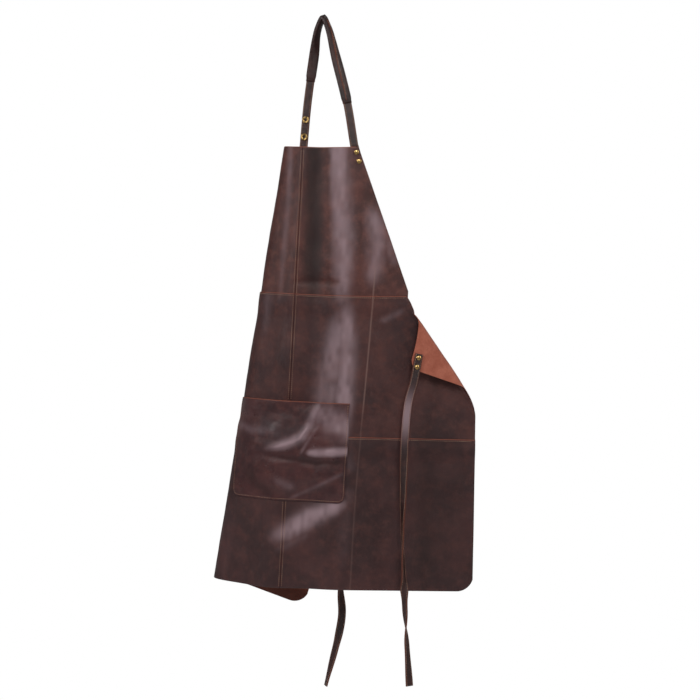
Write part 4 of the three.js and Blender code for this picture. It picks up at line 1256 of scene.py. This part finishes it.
def snap_stud(name, origin, axis):
    profile = [
        (0, -1.5, 0.0), (3.4, -1.45, 0.0), (5, -1.15, 0.0), (5.4, -0.5, 0.1), (5.2, -0.15, 0.7),
        (RIVET_POST, -0.15, 1.0), (RIVET_POST, LEATHER + 0.15, 1.0), (SNAP_STUD * 0.8, LEATHER + 0.6, 0.6),
        (SNAP_STUD, LEATHER + 1.2, 0.1), (SNAP_STUD, LEATHER + 1.7, 0.0),
        (SNAP_STUD * 0.6, LEATHER + 2.2, 0.0), (0, LEATHER + 2.3, 0.0),
    ]
    turned(name, profile, origin, axis, "apron")


# The rivets of each strap end: its seat, and 1 if their caps are on the grain side, -1 if on the flesh side.
RIVETS = [("bib_rivet", "fixed", 1), ("tie_right_rivet", 1, -1), ("tie_left_rivet", -1, -1)]


def fittings():
    grip = LEATHER + GAP + STRAP_THICK + RIVET_PLAY
    words = ("upper", "lower")
    for prefix, key, sign in RIVETS:
        seat = SEATS[key]
        for i, word in enumerate(words):
            origin = seat.along(i * RIVET_PITCH) + seat.normal * (LEATHER + GAP) / 2
            rivet(f"{prefix}_{word}", origin, seat.normal * sign, grip)
    seat = SEATS["snapped"]
    for i, word in enumerate(words):
        at = seat.along(i * SNAP_PITCH)
        snap_socket(f"snap_socket_{word}", at, -seat.normal, "snap_end")
        snap_stud(f"snap_stud_{word}", at - seat.normal * SNAPPED, seat.normal)
    half = len(NECK[0]) // 2
    for i, z in enumerate(SPARE_SOCKETS):
        k = half + int(np.argmin(np.abs(NECK[0][half:, 2] - z)))
        facing = NECK[2][k]
        snap_socket(f"spare_socket_{i + 1}", NECK[0][k], -facing if facing[1] > 0 else facing, "neck_loop")


# ---- stage, light and camera, placed in metres ----
FLOOR_RADIUS, FLOOR_LEVEL, FLOOR_SIDES = 0.9, -1.42, 64
LIGHT_TARGET = (0.0, 0.0, -0.6)
LIGHTS = {
    "left_softbox": ((-2.2, -2.0, 0.9), (0.5, 1.8), 44, (1.0, 0.97, 0.97)),
    "front_softbox": ((0.7, -2.9, 1.3), (0.9, 1.6), 40, (1.0, 0.98, 0.96)),
    "right_softbox": ((2.6, -0.9, 0.6), (0.7, 1.8), 18, (1.0, 0.97, 0.95)),
    "back_fill": ((0.4, 2.6, 0.6), (2.0, 2.0), 18, (1.0, 1.0, 1.0)),
}
ROOM_COLOUR, ROOM_STRENGTH, BACKDROP = (1.0, 0.96, 0.94, 1.0), 0.22, (1.0, 1.0, 1.0, 1.0)
CAMERA_AT, CAMERA_LENS, CAMERA_SENSOR = (0.0488, -3.529, -0.6007), 99.4, 36


def floor():
    x, y, z = np.eye(3)
    rim = ring(z * FLOOR_LEVEL / MM, FLOOR_RADIUS / MM, x, y, FLOOR_SIDES)
    disc = mesh_object("floor", rim, [range(FLOOR_SIDES)], [floor_paint("floor_paint")])


def area_light(name, at, size, power, colour):
    data = bpy.data.lights.new(name, "AREA")
    data.shape = "RECTANGLE"
    data.size, data.size_y = size
    data.energy = power
    data.color = colour
    light = bpy.data.objects.new(name, data)
    light.location = at
    light.rotation_euler = (Vector(LIGHT_TARGET) - Vector(at)).to_track_quat("-Z", "Y").to_euler()
    bpy.context.scene.collection.objects.link(light)


def lighting():
    """Soft lights in a pale room, with a white backdrop that only the camera sees."""
    for name, settings in LIGHTS.items():
        area_light(name, *settings)
    world = bpy.data.worlds.new("studio")
    world.use_nodes = True
    tree = world.node_tree
    room, backdrop = tree.nodes["Background"], tree.nodes.new("ShaderNodeBackground")
    for node, colour, strength in ((room, ROOM_COLOUR, ROOM_STRENGTH), (backdrop, BACKDROP, 1.0)):
        node.inputs["Color"].default_value = colour
        node.inputs["Strength"].default_value = strength
    path = tree.nodes.new("ShaderNodeLightPath")
    either = tree.nodes.new("ShaderNodeMixShader")
    tree.links.new(path.outputs["Is Camera Ray"], either.inputs["Fac"])
    tree.links.new(room.outputs[0], either.inputs[1])
    tree.links.new(backdrop.outputs[0], either.inputs[2])
    tree.links.new(either.outputs[0], tree.nodes["World Output"].inputs["Surface"])
    bpy.context.scene.world = world
    bpy.context.scene.view_settings.view_transform = "Standard"


def camera():
    data = bpy.data.cameras.new("camera")
    data.sensor_width = CAMERA_SENSOR
    data.lens = CAMERA_LENS
    eye = bpy.data.objects.new("camera", data)
    eye.location = CAMERA_AT
    eye.rotation_euler = (math.pi / 2, 0, 0)
    bpy.context.scene.collection.objects.link(eye)
    bpy.context.scene.camera = eye


camera()
panels()
seam_stitching()
centre_stitching()
pocket_stitching()
neck_strap()
snap_end()
sleeve()
for word in SIDES:
    tie(word)
fittings()
floor()
lighting()
